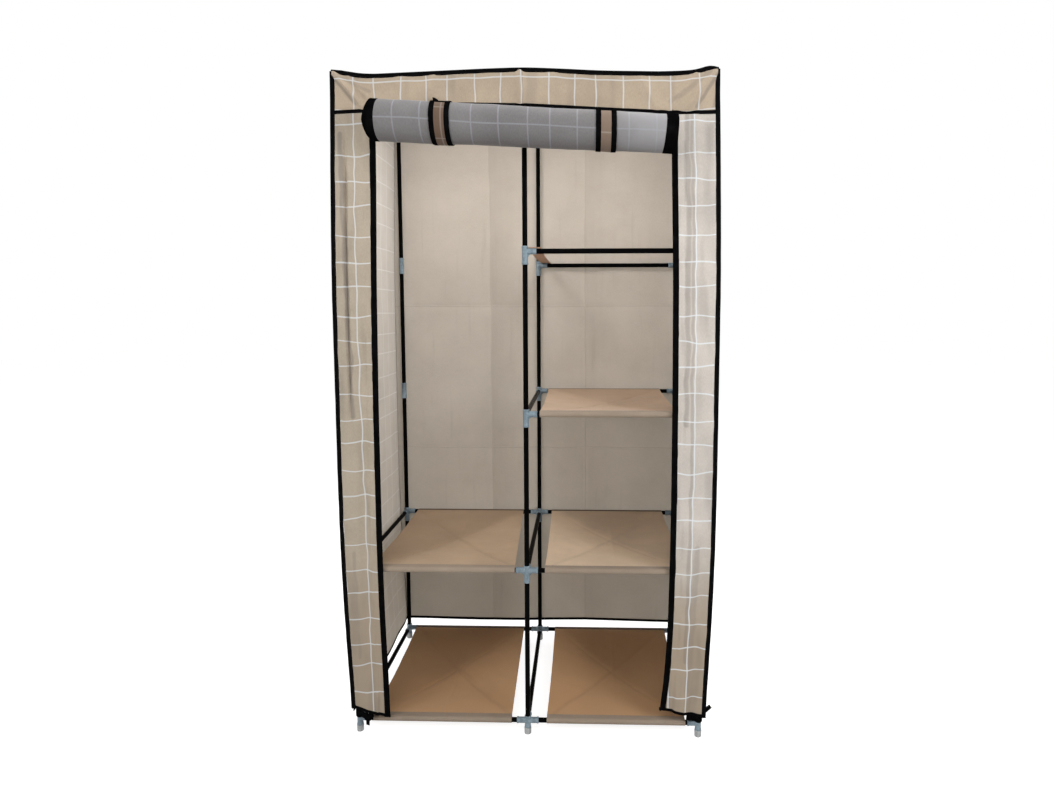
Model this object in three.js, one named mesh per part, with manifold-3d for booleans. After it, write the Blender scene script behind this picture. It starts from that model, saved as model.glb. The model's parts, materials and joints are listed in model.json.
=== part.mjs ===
import * as THREE from 'three';
import { mergeVertices } from 'three/addons/utils/BufferGeometryUtils.js';
import Module from 'manifold-3d';

const wasm = await Module();
wasm.setup();

// Driving dimensions in millimetres. X runs to the right, Y to the back and Z up.

// Frame of push-fit tubes and connectors
const BAY_PITCH = 420;
const FRAME_DEPTH = 480;
const TIER_PITCH = 383;
const LOWEST_AXIS = 34;
const TIER_COUNT = 4;
const TUBE_RADIUS = 6;
const TUBE_WALL = 0.7;
const FIT_GAP = 0.3;
const CONNECTOR_WALL = 1.2;
const ARM_REACH = 27;
const SOCKET_START = 8;
const SLEEVE_DROP = 31;
const SLEEVE_RISE = 8;
const CAP_RISE = 20;
const CAP_TAPER = 2.5;
const COUPLER_LENGTH = 48;
const FACETS = 8;

// Foot cups
const FOOT_RADIUS = 8.5;
const FOOT_HEIGHT = 16;
const FOOT_CHAMFER = 1.5;
const FOOT_FLOOR = 3;

// Number of low levels with tubes in both bays. The next level has depth tubes in the right bay only.
const SHARED_LEVEL_COUNT = 2;

// Hanging rail on two tees that hold the top depth tubes
const TEE_HALF_LENGTH = 20;
const TEE_ARM_REACH = 30;

// Cloth cover
const CLOTH_HALF = 0.6;
const HEM_HALF = 2;
const HEM_WIDTH = 5;
const HEM_STEP = 1.5;
const CLOTH_GAP = 0.4;
const FRONT_OFFSET = 14;
const BACK_OFFSET = 11;
const COVER_BOTTOM = 58;
const CLOTH_OVER_CONNECTOR = 3.5;
const CLOTH_OVER_CAP = 2.5;
const CAP_FLAT = 9;
const CAP_SLOPE_END = 36;
const VALANCE_DROP = 68;
const CORNER_CREASE = 3;
const BACK_CREASE = 5;
const BACK_CREASE_SHARES = [-0.352, 0.338];
const BACK_CREASE_HALF = 46;
const BACK_CREASE_HEIGHT_SHARE = 0.68;
const SIDE_CREASE = 3;
const STRIP_CREASE = 2;

// Outward offsets of the cover's side walls from the corner uprights at shares of its height
const SIDE_OFFSET_TOP = 16;
const SIDE_SHARES = [0, 0.06, 0.13, 0.2, 0.33, 0.67, 0.83, 1];
const SIDE_OFFSETS = [10.5, 13, 17.5, 22, 26.5, 26.5, 22.5, SIDE_OFFSET_TOP];

// Zips with their sliders and pulls
const LEFT_STRIP_WIDTH = 80;
const RIGHT_STRIP_WIDTH = 84;
const ZIP_TAPE_WIDTH = 14;
const ZIP_TAPE_HALF = 1;
const SLIDER_BELOW_SEAM = 31;
const SLIDER_HALF_HEIGHT = 7;
const SLIDER_WIDTH = 11.2;
const SLIDER_PLATE = 1.2;
const LUG_INNER = 3.2;
const LUG_OUTER = 5;
const LUG_DEPTH = 4.4;
const LUG_HALF_HEIGHT = 2.6;
const PIN_RADIUS = 1;
const PIN_STANDOFF = 3.2;
const PULL_HUB_RADIUS = 2.5;
const PULL_HOLE_RADIUS = 1.4;
const PULL_HALF_WIDTH = 2.8;
const PULL_HALF_THICKNESS = 0.7;
const PULL_LENGTH = 26;
const PULL_NECK_SHARE = 0.33;
const PULL_TIP_HALF_WIDTH = 3.8;

// Rolled door and the two straps that hold it
const DOOR_EDGE_INSET = 4;
const ROLL_LEFT_BEYOND = 11;
const ROLL_RIGHT_SHORT = 3;
const ROLL_LEFT_DROP = 35;
const ROLL_RIGHT_DROP = 74;
const ROLL_STANDOFF = 64;
const ROLL_LEFT_RADIUS = 46;
const ROLL_RIGHT_RADIUS = 39;
const ROLL_CORE_RADIUS = 11;
const ROLL_TURNS = 5;
const ROLL_STEPS_A_TURN = 16;
const ROLL_STATIONS = 2;
const ROLL_WAVE = 0.8;
const ROLL_WAVE_COUNT = 3;
const ROLL_STRAP_SHARES = [0.512, 0.554];
const ROLL_STRAP_WIDTH = 44;
const ROLL_STRAP_OFFSET = 2.6;
const ROLL_STRAP_STEP = 2.4;
const ROLL_STRAP_LAST_SHARE = 0.8;
const ROLL_STRAP_STEPS = 14;

// Cloth shelves
const SHELF_SHORT = 78;
const SHELF_NEAR_EDGES = [46, 40, 30];
const SLEEVE_SLACK = 0.8;
const SLEEVE_FLAT = 12;
const SHELF_GRID = 6;
const SHELF_SAG = 13;
const SHELF_CREASE = 2.2;
const SHELF_CREASE_SHARE = 0.33;
const SHELF_EDGE_DROOP = 3;

// Strap between the two bare bars of the third level
const RAIL_STRAP_START = 9;
const RAIL_STRAP_WIDTH = 28;
const RAIL_STRAP_SLACK = 0.6;
const RAIL_STRAP_SAG = 5;

// Corner ties that hold the cover to the feet
const TIE_SLACK = 0.9;
const TIE_WALL = 2;
const TIE_OVER_FOOT = 1;
const TIE_HEIGHT = 7;
const TIE_HALF_WIDTH = 5;
const TIE_THICKNESS = 2.5;

// Length past a surface that a cutting body reaches
const CUT_PAST = 1;

// Half of anything
const HALF_SHARE = 0.5;

// Sizes and places worked out from the driving dimensions
const CONNECTOR_RADIUS = TUBE_RADIUS + FIT_GAP + CONNECTOR_WALL;
const FRONT_Y = -FRAME_DEPTH / 2;
const BACK_Y = FRAME_DEPTH / 2;
const COVER_FRONT_Y = FRONT_Y - FRONT_OFFSET;
const COVER_BACK_Y = BACK_Y + BACK_OFFSET;
const levelZ = (level) => LOWEST_AXIS + level * TIER_PITCH;
const TOP_AXIS = levelZ(TIER_COUNT);
const CLOTH_TOP = TOP_AXIS + CONNECTOR_RADIUS + CLOTH_OVER_CONNECTOR;
const CAP_CLOTH_TOP = TOP_AXIS + CAP_RISE + CLOTH_OVER_CAP;
const SEAM_Z = TOP_AXIS - VALANCE_DROP;
const WALL_TOP = CLOTH_TOP - HEM_HALF - CLOTH_GAP;
const DOOR_TOP_Z = SEAM_Z - CLOTH_GAP - CLOTH_HALF;
const ZIP_EDGE_X = { left: BAY_PITCH - LEFT_STRIP_WIDTH, right: BAY_PITCH - RIGHT_STRIP_WIDTH };
const SLIDER_Z = SEAM_Z - SLIDER_BELOW_SEAM;
const BACK_CREASE_X = BACK_CREASE_SHARES.map((share) => share * BAY_PITCH);
const BACK_CREASE_Z = COVER_BOTTOM + BACK_CREASE_HEIGHT_SHARE * (WALL_TOP - COVER_BOTTOM);
const DOOR_TOP_LEFT_X = DOOR_EDGE_INSET - ZIP_EDGE_X.left;
const DOOR_TOP_RIGHT_X = ZIP_EDGE_X.right - DOOR_EDGE_INSET;
const ROLL_LEFT_X = DOOR_TOP_LEFT_X - ROLL_LEFT_BEYOND;
const ROLL_RIGHT_X = DOOR_TOP_RIGHT_X - ROLL_RIGHT_SHORT;
const ROLL_LEFT_Z = SEAM_Z - ROLL_LEFT_DROP;
const ROLL_RIGHT_Z = SEAM_Z - ROLL_RIGHT_DROP;
const ROLL_Y = COVER_FRONT_Y - ROLL_STANDOFF;
const ROLL_STRAP_X = [DOOR_TOP_LEFT_X, DOOR_TOP_RIGHT_X].map((x, i) => x * ROLL_STRAP_SHARES[i]);
const SHELF_WIDTH = BAY_PITCH - SHELF_SHORT;
const SLEEVE_INNER = TUBE_RADIUS + SLEEVE_SLACK;
const RAIL_STRAP_INNER = CONNECTOR_RADIUS + RAIL_STRAP_SLACK;
const TIE_INNER = CONNECTOR_RADIUS + TIE_SLACK;
const TIE_OUTER = TIE_INNER + TIE_WALL;
const TIE_BOTTOM = FOOT_HEIGHT + TIE_OVER_FOOT;
const TIE_TOP = TIE_BOTTOM + TIE_HEIGHT;
const SIDES = [['left', -BAY_PITCH], ['centre', 0], ['right', BAY_PITCH]];
const ROWS = [['front', FRONT_Y], ['rear', BACK_Y]];

const MATERIALS = {
  tube: { color: 0x18171a, roughness: 0.3, metalness: 0.4 },
  foot: { color: 0xd6d8da, roughness: 0.5, metalness: 0 },
  cover: { color: 0xc8b79c, roughness: 0.95, metalness: 0 },
  lining: { color: 0xa5a19c, roughness: 0.95, metalness: 0 },
  shelf: { color: 0x8b7358, roughness: 0.95, metalness: 0 },
  webbing: { color: 0x7d6a55, roughness: 0.95, metalness: 0 },
  zip: { color: 0xb9bcc0, roughness: 0.35, metalness: 0.9 },
};

const wardrobe = new THREE.Group();
wardrobe.name = 'portable_wardrobe';

/** Adds a named group of pieces to the wardrobe. */
function addGroup(name) {
  const group = new THREE.Group();
  group.name = name;
  wardrobe.add(group);
  return group;
}

const frameGroup = addGroup('frame');
const coverGroup = addGroup('cover');
const doorGroup = addGroup('door');
const shelfGroup = addGroup('shelves');
const zipGroup = addGroup('zips');

/** Adds one named piece, given as a closed solid around its own origin, with a material of its own. */
function addPiece(group, name, solid, look, position = [0, 0, 0]) {
  const mesh = new THREE.Mesh(geometryOf(solid), new THREE.MeshStandardMaterial(MATERIALS[look]));
  mesh.name = name;
  mesh.position.set(...position);
  group.add(mesh);
}

/** Turns a closed three.js geometry into a solid for boolean work. */
function solidOf(geometry) {
  const bare = geometry.clone();
  bare.deleteAttribute('normal');
  bare.deleteAttribute('uv');
  const welded = mergeVertices(bare);
  const data = { numProp: 3, vertProperties: welded.attributes.position.array, triVerts: welded.index.array };
  return new wasm.Manifold(new wasm.Mesh(data));
}

/** Turns a solid back into a three.js geometry. */
function geometryOf(solid) {
  const mesh = solid.getMesh();
  const geometry = new THREE.BufferGeometry();
  geometry.setAttribute('position', new THREE.BufferAttribute(new Float32Array(mesh.vertProperties), 3));
  geometry.setIndex(new THREE.BufferAttribute(new Uint32Array(mesh.triVerts), 1));
  geometry.computeVertexNormals();
  return geometry;
}

/** Joins a list of solids. */
const joined = (solids) => solids.reduce((whole, solid) => whole.add(solid));

/** Cuts each solid of a list from the first one. */
const cut = (solid, cutters) => cutters.reduce((rest, cutter) => rest.subtract(cutter), solid);

/** A straight bar with flats facing the axes, from start to end along one axis through a centre. */
function bar(axis, radius, start, end, centre = [0, 0, 0], endRadius = radius) {
  const turn = Math.PI / FACETS;
  const geometry = new THREE.CylinderGeometry(endRadius, radius, end - start, FACETS, 1, false, turn);
  geometry.translate(0, (start + end) / 2, 0);
  if (axis === 'x') geometry.rotateZ(-Math.PI / 2);
  if (axis === 'z') geometry.rotateX(Math.PI / 2);
  geometry.translate(...centre);
  return solidOf(geometry);
}

/** A box between two corners. */
function block(low, high) {
  const size = low.map((value, side) => high[side] - value);
  const middle = low.map((value, side) => (high[side] + value) / 2);
  const geometry = new THREE.BoxGeometry(...size);
  geometry.translate(...middle);
  return solidOf(geometry);
}

/** A ring around an axis, such as a tube or a loop of cloth. */
function ring(axis, inner, outer, start, end, centre) {
  const hole = bar(axis, inner, start - CUT_PAST, end + CUT_PAST, centre);
  return bar(axis, outer, start, end, centre).subtract(hole);
}

/** A loop of cloth around a bar that runs left to right. */
function clothLoop(inner, half, y) {
  return ring('x', inner, inner + CLOTH_HALF * 2, -half, half, [0, y, 0]);
}

/** Height over a bar's axis at which cloth leaves the flat on top of its loop. */
const loopTop = (inner) => (inner + CLOTH_HALF) * Math.cos(Math.PI / FACETS);

/** A hollow tube that spans two uprights and ends inside the sockets of their arms. */
function tubeAcross(axis, pitch) {
  const half = pitch / 2 - SOCKET_START - FIT_GAP;
  return ring(axis, TUBE_RADIUS - TUBE_WALL, TUBE_RADIUS, -half, half);
}

/**
 * A closed sheet with thickness over a grid of places.
 * place(u, v) gives a point, half(u, v) the half thickness there, both from station values.
 */
function sheet(us, vs, place, half) {
  const across = vs.length;
  const points = us.flatMap((u) => vs.map((v) => new THREE.Vector3(...place(u, v))));
  const at = (i, j) => points[i * across + j];
  const clampI = (i) => Math.min(Math.max(i, 0), us.length - 1);
  const clampJ = (j) => Math.min(Math.max(j, 0), across - 1);
  const front = [];
  const back = [];
  us.forEach((u, i) => {
    vs.forEach((v, j) => {
      const alongU = at(clampI(i + 1), j).clone().sub(at(clampI(i - 1), j));
      const alongV = at(i, clampJ(j + 1)).clone().sub(at(i, clampJ(j - 1)));
      const normal = alongU.cross(alongV).normalize().multiplyScalar(half(u, v));
      front.push(...at(i, j).clone().add(normal).toArray());
      back.push(...at(i, j).clone().sub(normal).toArray());
    });
  });
  const faces = [];
  const count = points.length;
  const quad = (a, b, c, d) => faces.push(a, b, c, a, c, d);
  for (let i = 0; i + 1 < us.length; i += 1) {
    for (let j = 0; j + 1 < across; j += 1) {
      const a = i * across + j;
      quad(a, a + across, a + across + 1, a + 1);
      quad(count + a, count + a + 1, count + a + across + 1, count + a + across);
    }
  }
  const rim = [];
  for (let i = 0; i + 1 < us.length; i += 1) rim.push(i * across);
  for (let j = 0; j + 1 < across; j += 1) rim.push((us.length - 1) * across + j);
  for (let i = us.length - 1; i > 0; i -= 1) rim.push(i * across + across - 1);
  for (let j = across - 1; j > 0; j -= 1) rim.push(j);
  rim.forEach((a, index) => {
    const b = rim[(index + 1) % rim.length];
    quad(b, a, count + a, count + b);
  });
  const geometry = new THREE.BufferGeometry();
  geometry.setAttribute('position', new THREE.BufferAttribute(new Float32Array([...front, ...back]), 3));
  geometry.setIndex(faces);
  return solidOf(geometry);
}

/** Even stations from one value to another. */
function stations(from, to, steps) {
  return Array.from({ length: steps + 1 }, (_, index) => from + ((to - from) * index) / steps);
}

/** Stations with a hem at each end: the edge, the hem's inner side and the start of plain cloth. */
function hemmed(inner, low, high) {
  const step = HEM_WIDTH + HEM_STEP;
  return [low, low + HEM_WIDTH, low + step, ...inner, high - step, high - HEM_WIDTH, high];
}

/** Half thickness of cloth with a hem at each end of one direction. */
function hemHalf(value, low, high) {
  return Math.min(value - low, high - value) <= HEM_WIDTH ? HEM_HALF : CLOTH_HALF;
}

/** Blends between two numbers. */
const blend = (from, to, share) => from + (to - from) * share;

/** A smooth bump of height one that is zero beyond its half width. */
function bump(distance, halfWidth) {
  const share = Math.min(Math.abs(distance) / halfWidth, 1);
  return (1 - share) * (1 - share) * (1 + 2 * share);
}

/** Outward offset of the cover's side wall at a height. */
function sideOffset(z) {
  const share = Math.min(Math.max((z - COVER_BOTTOM) / (CLOTH_TOP - COVER_BOTTOM), 0), 1);
  const next = Math.max(SIDE_SHARES.findIndex((value) => value >= share), 1);
  const span = SIDE_SHARES[next] - SIDE_SHARES[next - 1];
  return blend(SIDE_OFFSETS[next - 1], SIDE_OFFSETS[next], (share - SIDE_SHARES[next - 1]) / span);
}

/** Height of the cover's top: level cloth that the six connector caps push up. */
function topHeight(x, y) {
  const inX = Math.min(Math.abs(x), BAY_PITCH);
  const inY = Math.min(Math.abs(y), BACK_Y);
  const nearX = Math.min(inX, BAY_PITCH - inX);
  const slope = CAP_SLOPE_END - CAP_FLAT;
  const share = (distance) => Math.min(Math.max((CAP_SLOPE_END - distance) / slope, 0), 1);
  const push = share(nearX) * share(BACK_Y - inY);
  return CLOTH_TOP + (CAP_CLOTH_TOP - CLOTH_TOP) * push;
}

/** A connector's arm or its socket, as a bar that points away from the upright's axis. */
function armBar(direction, radius, from, to, z) {
  const [axis, sign] = { left: ['x', -1], right: ['x', 1], front: ['y', -1], back: ['y', 1] }[direction];
  const ends = [sign * from, sign * to].sort((a, b) => a - b);
  return bar(axis, radius, ends[0], ends[1], [0, 0, z]);
}

/** The directions of a connector's arms at one level of the upright at a place. */
function armsAt(x, y, level) {
  const arms = [];
  const leftBay = level < SHARED_LEVEL_COUNT || level === TIER_COUNT;
  if (x > 0 || (x === 0 && leftBay)) arms.push('left');
  if (x === 0 || (x < 0 && leftBay)) arms.push('right');
  const depthTube = leftBay || (level === SHARED_LEVEL_COUNT && x >= 0);
  if (depthTube) arms.push(y < 0 ? 'back' : 'front');
  return arms;
}

/** An upright's tube lengths with its five moulded connectors, open at the foot and capped on top. */
function upright(x, y) {
  const bottom = FOOT_FLOOR + FIT_GAP;
  const capTop = TOP_AXIS + CAP_RISE;
  const capSide = capTop - CAP_TAPER;
  const solids = [bar('z', TUBE_RADIUS, bottom, TOP_AXIS)];
  const cutters = [bar('z', TUBE_RADIUS - TUBE_WALL, bottom - CUT_PAST, TOP_AXIS)];
  for (let level = 0; level <= TIER_COUNT; level += 1) {
    const z = levelZ(level);
    const arms = armsAt(x, y, level);
    let low = z - SLEEVE_DROP;
    let high = z + SLEEVE_RISE;
    if (arms.length === 0) {
      low = z - COUPLER_LENGTH / 2;
      high = z + COUPLER_LENGTH / 2;
    }
    if (level === 0) low = FOOT_HEIGHT + FIT_GAP;
    if (level === TIER_COUNT) high = capSide;
    solids.push(bar('z', CONNECTOR_RADIUS, low, high));
    arms.forEach((direction) => {
      solids.push(armBar(direction, CONNECTOR_RADIUS, 0, ARM_REACH, z));
      cutters.push(armBar(direction, TUBE_RADIUS + FIT_GAP, SOCKET_START, ARM_REACH + CUT_PAST, z));
    });
  }
  solids.push(bar('z', CONNECTOR_RADIUS, capSide, capTop, [0, 0, 0], CONNECTOR_RADIUS - CAP_TAPER));
  return cut(joined(solids), cutters);
}

/** Calls back for each of the six places where an upright stands. */
function forUprights(callback) {
  ROWS.forEach(([row, y]) => {
    SIDES.forEach(([side, x]) => callback(row, side, x, y));
  });
}

/** Adds the six uprights. */
function addUprights() {
  forUprights((row, side, x, y) => {
    addPiece(frameGroup, `upright_${row}_${side}`, upright(x, y), 'tube', [x, y, 0]);
  });
}

/** Adds a cup under each upright. */
function addFeet() {
  const bore = TUBE_RADIUS + FIT_GAP;
  const profile = [
    [0, 0], [FOOT_RADIUS - FOOT_CHAMFER, 0], [FOOT_RADIUS, FOOT_CHAMFER], [FOOT_RADIUS, FOOT_HEIGHT],
    [bore, FOOT_HEIGHT], [bore, FOOT_FLOOR], [0, FOOT_FLOOR],
  ];
  const points = profile.map(([radius, height]) => new THREE.Vector2(radius, height));
  const cup = new THREE.LatheGeometry(points, FACETS, Math.PI / FACETS).rotateX(Math.PI / 2);
  forUprights((row, side, x, y) => {
    addPiece(frameGroup, `foot_${row}_${side}`, solidOf(cup), 'foot', [x, y, 0]);
  });
}

/** Adds the tubes that run left to right in each bay. */
function addCrossTubes() {
  for (let level = 0; level <= TIER_COUNT; level += 1) {
    ROWS.forEach(([row, y]) => {
      [['left', -BAY_PITCH], ['right', 0]].forEach(([bay, from]) => {
        if (!armsAt(from, y, level).includes('right')) return;
        const name = `tube_level${level}_${row}_${bay}`;
        const position = [from + BAY_PITCH / 2, y, levelZ(level)];
        addPiece(frameGroup, name, tubeAcross('x', BAY_PITCH), 'tube', position);
      });
    });
  }
}

/** Adds the tubes that run front to back. */
function addDepthTubes() {
  for (let level = 0; level <= TIER_COUNT; level += 1) {
    SIDES.forEach(([side, x]) => {
      if (!armsAt(x, FRONT_Y, level).includes('back')) return;
      const name = `tube_level${level}_depth_${side}`;
      addPiece(frameGroup, name, tubeAcross('y', FRAME_DEPTH), 'tube', [x, 0, levelZ(level)]);
    });
  }
}

/** Adds the rail for hangers in the left bay, with a tee at each end around a top depth tube. */
function addHangingRail() {
  const half = BAY_PITCH / 2;
  const solids = [bar('x', TUBE_RADIUS, -half, half)];
  const cutters = [bar('x', TUBE_RADIUS - TUBE_WALL, -half, half)];
  [-1, 1].forEach((end) => {
    const ends = [end * half, end * (half - TEE_ARM_REACH)].sort((a, b) => a - b);
    solids.push(bar('x', CONNECTOR_RADIUS, ends[0], ends[1]));
    solids.push(bar('y', CONNECTOR_RADIUS, -TEE_HALF_LENGTH, TEE_HALF_LENGTH, [end * half, 0, 0]));
    const past = TEE_HALF_LENGTH + CUT_PAST;
    cutters.push(bar('y', TUBE_RADIUS + FIT_GAP, -past, past, [end * half, 0, 0]));
  });
  addPiece(frameGroup, 'hanging_rail', cut(joined(solids), cutters), 'tube', [-half, 0, TOP_AXIS]);
}

/** Stations across the width at which the caps of the uprights lift the cloth. */
function capStations() {
  const steps = [-CAP_SLOPE_END, -CAP_FLAT, CAP_FLAT, CAP_SLOPE_END];
  const all = SIDES.flatMap(([, x]) => steps.map((step) => x + step));
  return all.filter((x) => Math.abs(x) < BAY_PITCH);
}

/** Stations over the depth at which the caps of the uprights lift the cloth. */
function rowStations() {
  const near = [FRONT_Y + CAP_FLAT, FRONT_Y + CAP_SLOPE_END];
  return [...near, 0, ...near.map((y) => -y).reverse()];
}

/** Adds the cover's top with its piped rim, raised over the caps of the uprights. */
function addCoverTop() {
  const halfX = BAY_PITCH + SIDE_OFFSET_TOP + HEM_HALF;
  const front = COVER_FRONT_Y - HEM_HALF;
  const back = COVER_BACK_Y + HEM_HALF;
  const middles = [-BAY_PITCH / 2, BAY_PITCH / 2];
  const us = hemmed([...capStations(), ...middles].sort((a, b) => a - b), -halfX, halfX);
  const vs = hemmed(rowStations(), front, back);
  const half = (x, y) => Math.max(hemHalf(x, -halfX, halfX), hemHalf(y, front, back));
  addPiece(coverGroup, 'cover_top', sheet(us, vs, (x, y) => [x, y, topHeight(x, y)], half), 'cover');
}

/** Height at which a wall of the cover ends, just below the top's rim. */
const wallTop = (x, y) => topHeight(x, y) - HEM_HALF - CLOTH_GAP;

/** Lifts the upper part of a wall so that its edge follows the top's rim. */
function wallHeight(x, y, z) {
  const share = Math.max((z - SEAM_Z) / (WALL_TOP - SEAM_Z), 0);
  return z + (wallTop(x, y) - WALL_TOP) * share;
}

/** Stations up a wall: a hem at the bottom, the stations of the bulge and the top edge. */
function wallStations(top) {
  const inner = SIDE_SHARES.map((share) => blend(COVER_BOTTOM, top, share));
  return [COVER_BOTTOM, COVER_BOTTOM + HEM_WIDTH, COVER_BOTTOM + HEM_WIDTH + HEM_STEP, ...inner.slice(1)];
}

/** Half thickness of a wall whose only hem is along its bottom. */
const bottomHemHalf = (z) => (z <= COVER_BOTTOM + HEM_WIDTH ? HEM_HALF : CLOTH_HALF);

/** Adds the cover's back with its two upright creases and one level crease. */
function addCoverBack() {
  const inset = HEM_HALF + CLOTH_GAP;
  const creases = BACK_CREASE_X.flatMap((x) => [x - BACK_CREASE_HALF, x, x + BACK_CREASE_HALF]);
  const us = [-BAY_PITCH, ...capStations(), ...creases, BAY_PITCH].sort((a, b) => a - b);
  const levelCrease = [BACK_CREASE_Z - BACK_CREASE_HALF, BACK_CREASE_Z, BACK_CREASE_Z + BACK_CREASE_HALF];
  const vs = [...wallStations(WALL_TOP), ...levelCrease].sort((a, b) => a - b);
  const place = (u, v) => {
    const beyond = Math.max(Math.abs(u) - (BAY_PITCH - CAP_FLAT), 0) / CAP_FLAT;
    const x = u + Math.sign(u) * beyond * (sideOffset(v) - inset);
    const upright = Math.max(...BACK_CREASE_X.map((at) => bump(x - at, BACK_CREASE_HALF)));
    const level = bump(v - BACK_CREASE_Z, BACK_CREASE_HALF);
    const free = Math.sin(Math.PI * Math.min(Math.max((v - COVER_BOTTOM) / (WALL_TOP - COVER_BOTTOM), 0), 1));
    const y = COVER_BACK_Y + BACK_CREASE * Math.max(upright, level) * free;
    return [x, y, wallHeight(x, COVER_BACK_Y, v)];
  };
  addPiece(coverGroup, 'cover_back', sheet(us, vs, place, (u, v) => bottomHemHalf(v)), 'cover');
}

/** Adds one side wall of the cover, bulged over its height and piped at the two corners. */
function addCoverSide(name, sign) {
  const front = COVER_FRONT_Y - HEM_HALF;
  const back = COVER_BACK_Y + HEM_HALF;
  const us = hemmed(rowStations(), front, back);
  const vs = wallStations(WALL_TOP);
  const place = (u, v) => {
    const middle = 1 - Math.min(Math.abs(u) / BACK_Y, 1);
    const rise = Math.sin((Math.PI * (v - COVER_BOTTOM)) / (WALL_TOP - COVER_BOTTOM));
    const x = sign * (BAY_PITCH + sideOffset(v) - SIDE_CREASE * middle * rise);
    return [x, u, wallHeight(sign * BAY_PITCH, u, v)];
  };
  const half = (u, v) => Math.max(hemHalf(u, front, back), bottomHemHalf(v));
  addPiece(coverGroup, name, sheet(us, vs, place, half), 'cover');
}

/** A tie that loops around a front foot's sleeve and joins the bottom corner of a front strip. */
function cornerTie(x) {
  const tabFront = COVER_FRONT_Y - TIE_THICKNESS / 2;
  const tabBack = COVER_FRONT_Y + TIE_THICKNESS / 2;
  const loop = ring('z', TIE_INNER, TIE_OUTER, TIE_BOTTOM, TIE_TOP, [x, FRONT_Y, 0]);
  const left = x - TIE_HALF_WIDTH;
  const right = x + TIE_HALF_WIDTH;
  const tab = block([left, tabFront, TIE_BOTTOM], [right, tabBack, COVER_BOTTOM + HEM_WIDTH / 2]);
  const link = block([left, tabFront, TIE_BOTTOM], [right, FRONT_Y - TIE_INNER, TIE_TOP]);
  return joined([loop, tab, link]);
}

/** Adds a front strip: cloth between a corner and the zip, with the zip's tape along its inner edge. */
function addFrontStrip(side, sign) {
  const zipEdge = ZIP_EDGE_X[side];
  const inset = HEM_HALF + CLOTH_GAP;
  const top = SEAM_Z - CLOTH_GAP;
  const clothStart = ZIP_TAPE_WIDTH + HEM_STEP;
  const clothEnd = BAY_PITCH - zipEdge;
  const crease = blend(clothStart, clothEnd, HALF_SHARE);
  const us = [0, ZIP_TAPE_WIDTH, clothStart, crease, clothEnd];
  const vs = wallStations(top);
  const place = (u, v) => {
    const outer = BAY_PITCH + sideOffset(v) - inset - zipEdge;
    const share = Math.max((u - clothStart) / (clothEnd - clothStart), 0);
    const x = u <= clothStart ? u : blend(clothStart, outer, share);
    const fold = STRIP_CREASE * bump(u - crease, crease - clothStart) * Math.sin((Math.PI * v) / top);
    return [sign * (zipEdge + x), COVER_FRONT_Y - fold, v];
  };
  const half = (u, v) => Math.max(u <= ZIP_TAPE_WIDTH ? ZIP_TAPE_HALF : CLOTH_HALF, bottomHemHalf(v));
  const strip = sheet(us, vs, place, half);
  addPiece(coverGroup, `front_strip_${side}`, strip.add(cornerTie(sign * BAY_PITCH)), 'cover');
}

/** Adds the valance over the door, creased near both corners. */
function addValance() {
  const halfWidth = BAY_PITCH + SIDE_OFFSET_TOP - HEM_HALF - CLOTH_GAP;
  const corner = BAY_PITCH - CAP_SLOPE_END;
  const us = [-halfWidth, ...capStations(), halfWidth];
  const drop = WALL_TOP - SEAM_Z;
  const vs = [0, HEM_WIDTH, HEM_WIDTH + HEM_STEP, drop / 2, drop];
  const place = (u, v) => {
    const z = blend(SEAM_Z, wallTop(u, COVER_FRONT_Y), v / drop);
    const fromCorner = Math.abs(Math.abs(u) - corner);
    const fold = CORNER_CREASE * bump(fromCorner, CAP_SLOPE_END) * Math.sin((Math.PI * v) / drop);
    return [u, COVER_FRONT_Y - fold, z];
  };
  const half = (u, v) => (v <= HEM_WIDTH ? HEM_HALF : CLOTH_HALF);
  addPiece(coverGroup, 'cover_valance', sheet(us, vs, place, half), 'cover');
}

/** Centre height and outer radius of the rolled door at a place across it. */
function rollAt(x) {
  const share = (x - ROLL_LEFT_X) / (ROLL_RIGHT_X - ROLL_LEFT_X);
  const radius = blend(ROLL_LEFT_RADIUS, ROLL_RIGHT_RADIUS, share);
  return { z: blend(ROLL_LEFT_Z, ROLL_RIGHT_Z, share), radius };
}

/** A place on the roll's spiral, which starts at the back and goes down, forwards and up. */
function spiralPoint(x, turns, offset) {
  const { z, radius } = rollAt(x);
  const angle = turns * Math.PI * 2;
  const wave = ROLL_WAVE * Math.sin(ROLL_WAVE_COUNT * angle);
  const reach = blend(radius, ROLL_CORE_RADIUS, turns / ROLL_TURNS) + wave + offset;
  return [x, ROLL_Y + reach * Math.cos(angle), z - reach * Math.sin(angle)];
}

/** Adds the door, hung from the seam and rolled up on its outer side. */
function addRolledDoor() {
  const steps = stations(0, ROLL_TURNS, ROLL_TURNS * ROLL_STEPS_A_TURN);
  const vs = [-1, -HALF_SHARE, ...steps];
  const place = (u, v) => {
    const x = blend(ROLL_LEFT_X, ROLL_RIGHT_X, u);
    if (v >= 0) return spiralPoint(x, v, 0);
    const [, y, z] = spiralPoint(x, 0, 0);
    const topX = blend(DOOR_TOP_LEFT_X, DOOR_TOP_RIGHT_X, u);
    return [blend(x, topX, -v), blend(y, COVER_FRONT_Y, -v), blend(z, DOOR_TOP_Z, -v)];
  };
  const us = stations(0, 1, ROLL_STATIONS);
  addPiece(doorGroup, 'rolled_door', sheet(us, vs, place, () => CLOTH_HALF), 'lining');
  console.log('least gap between turns of the rolled door, mm', leastTurnGap(place, steps).toFixed(2));
}

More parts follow.
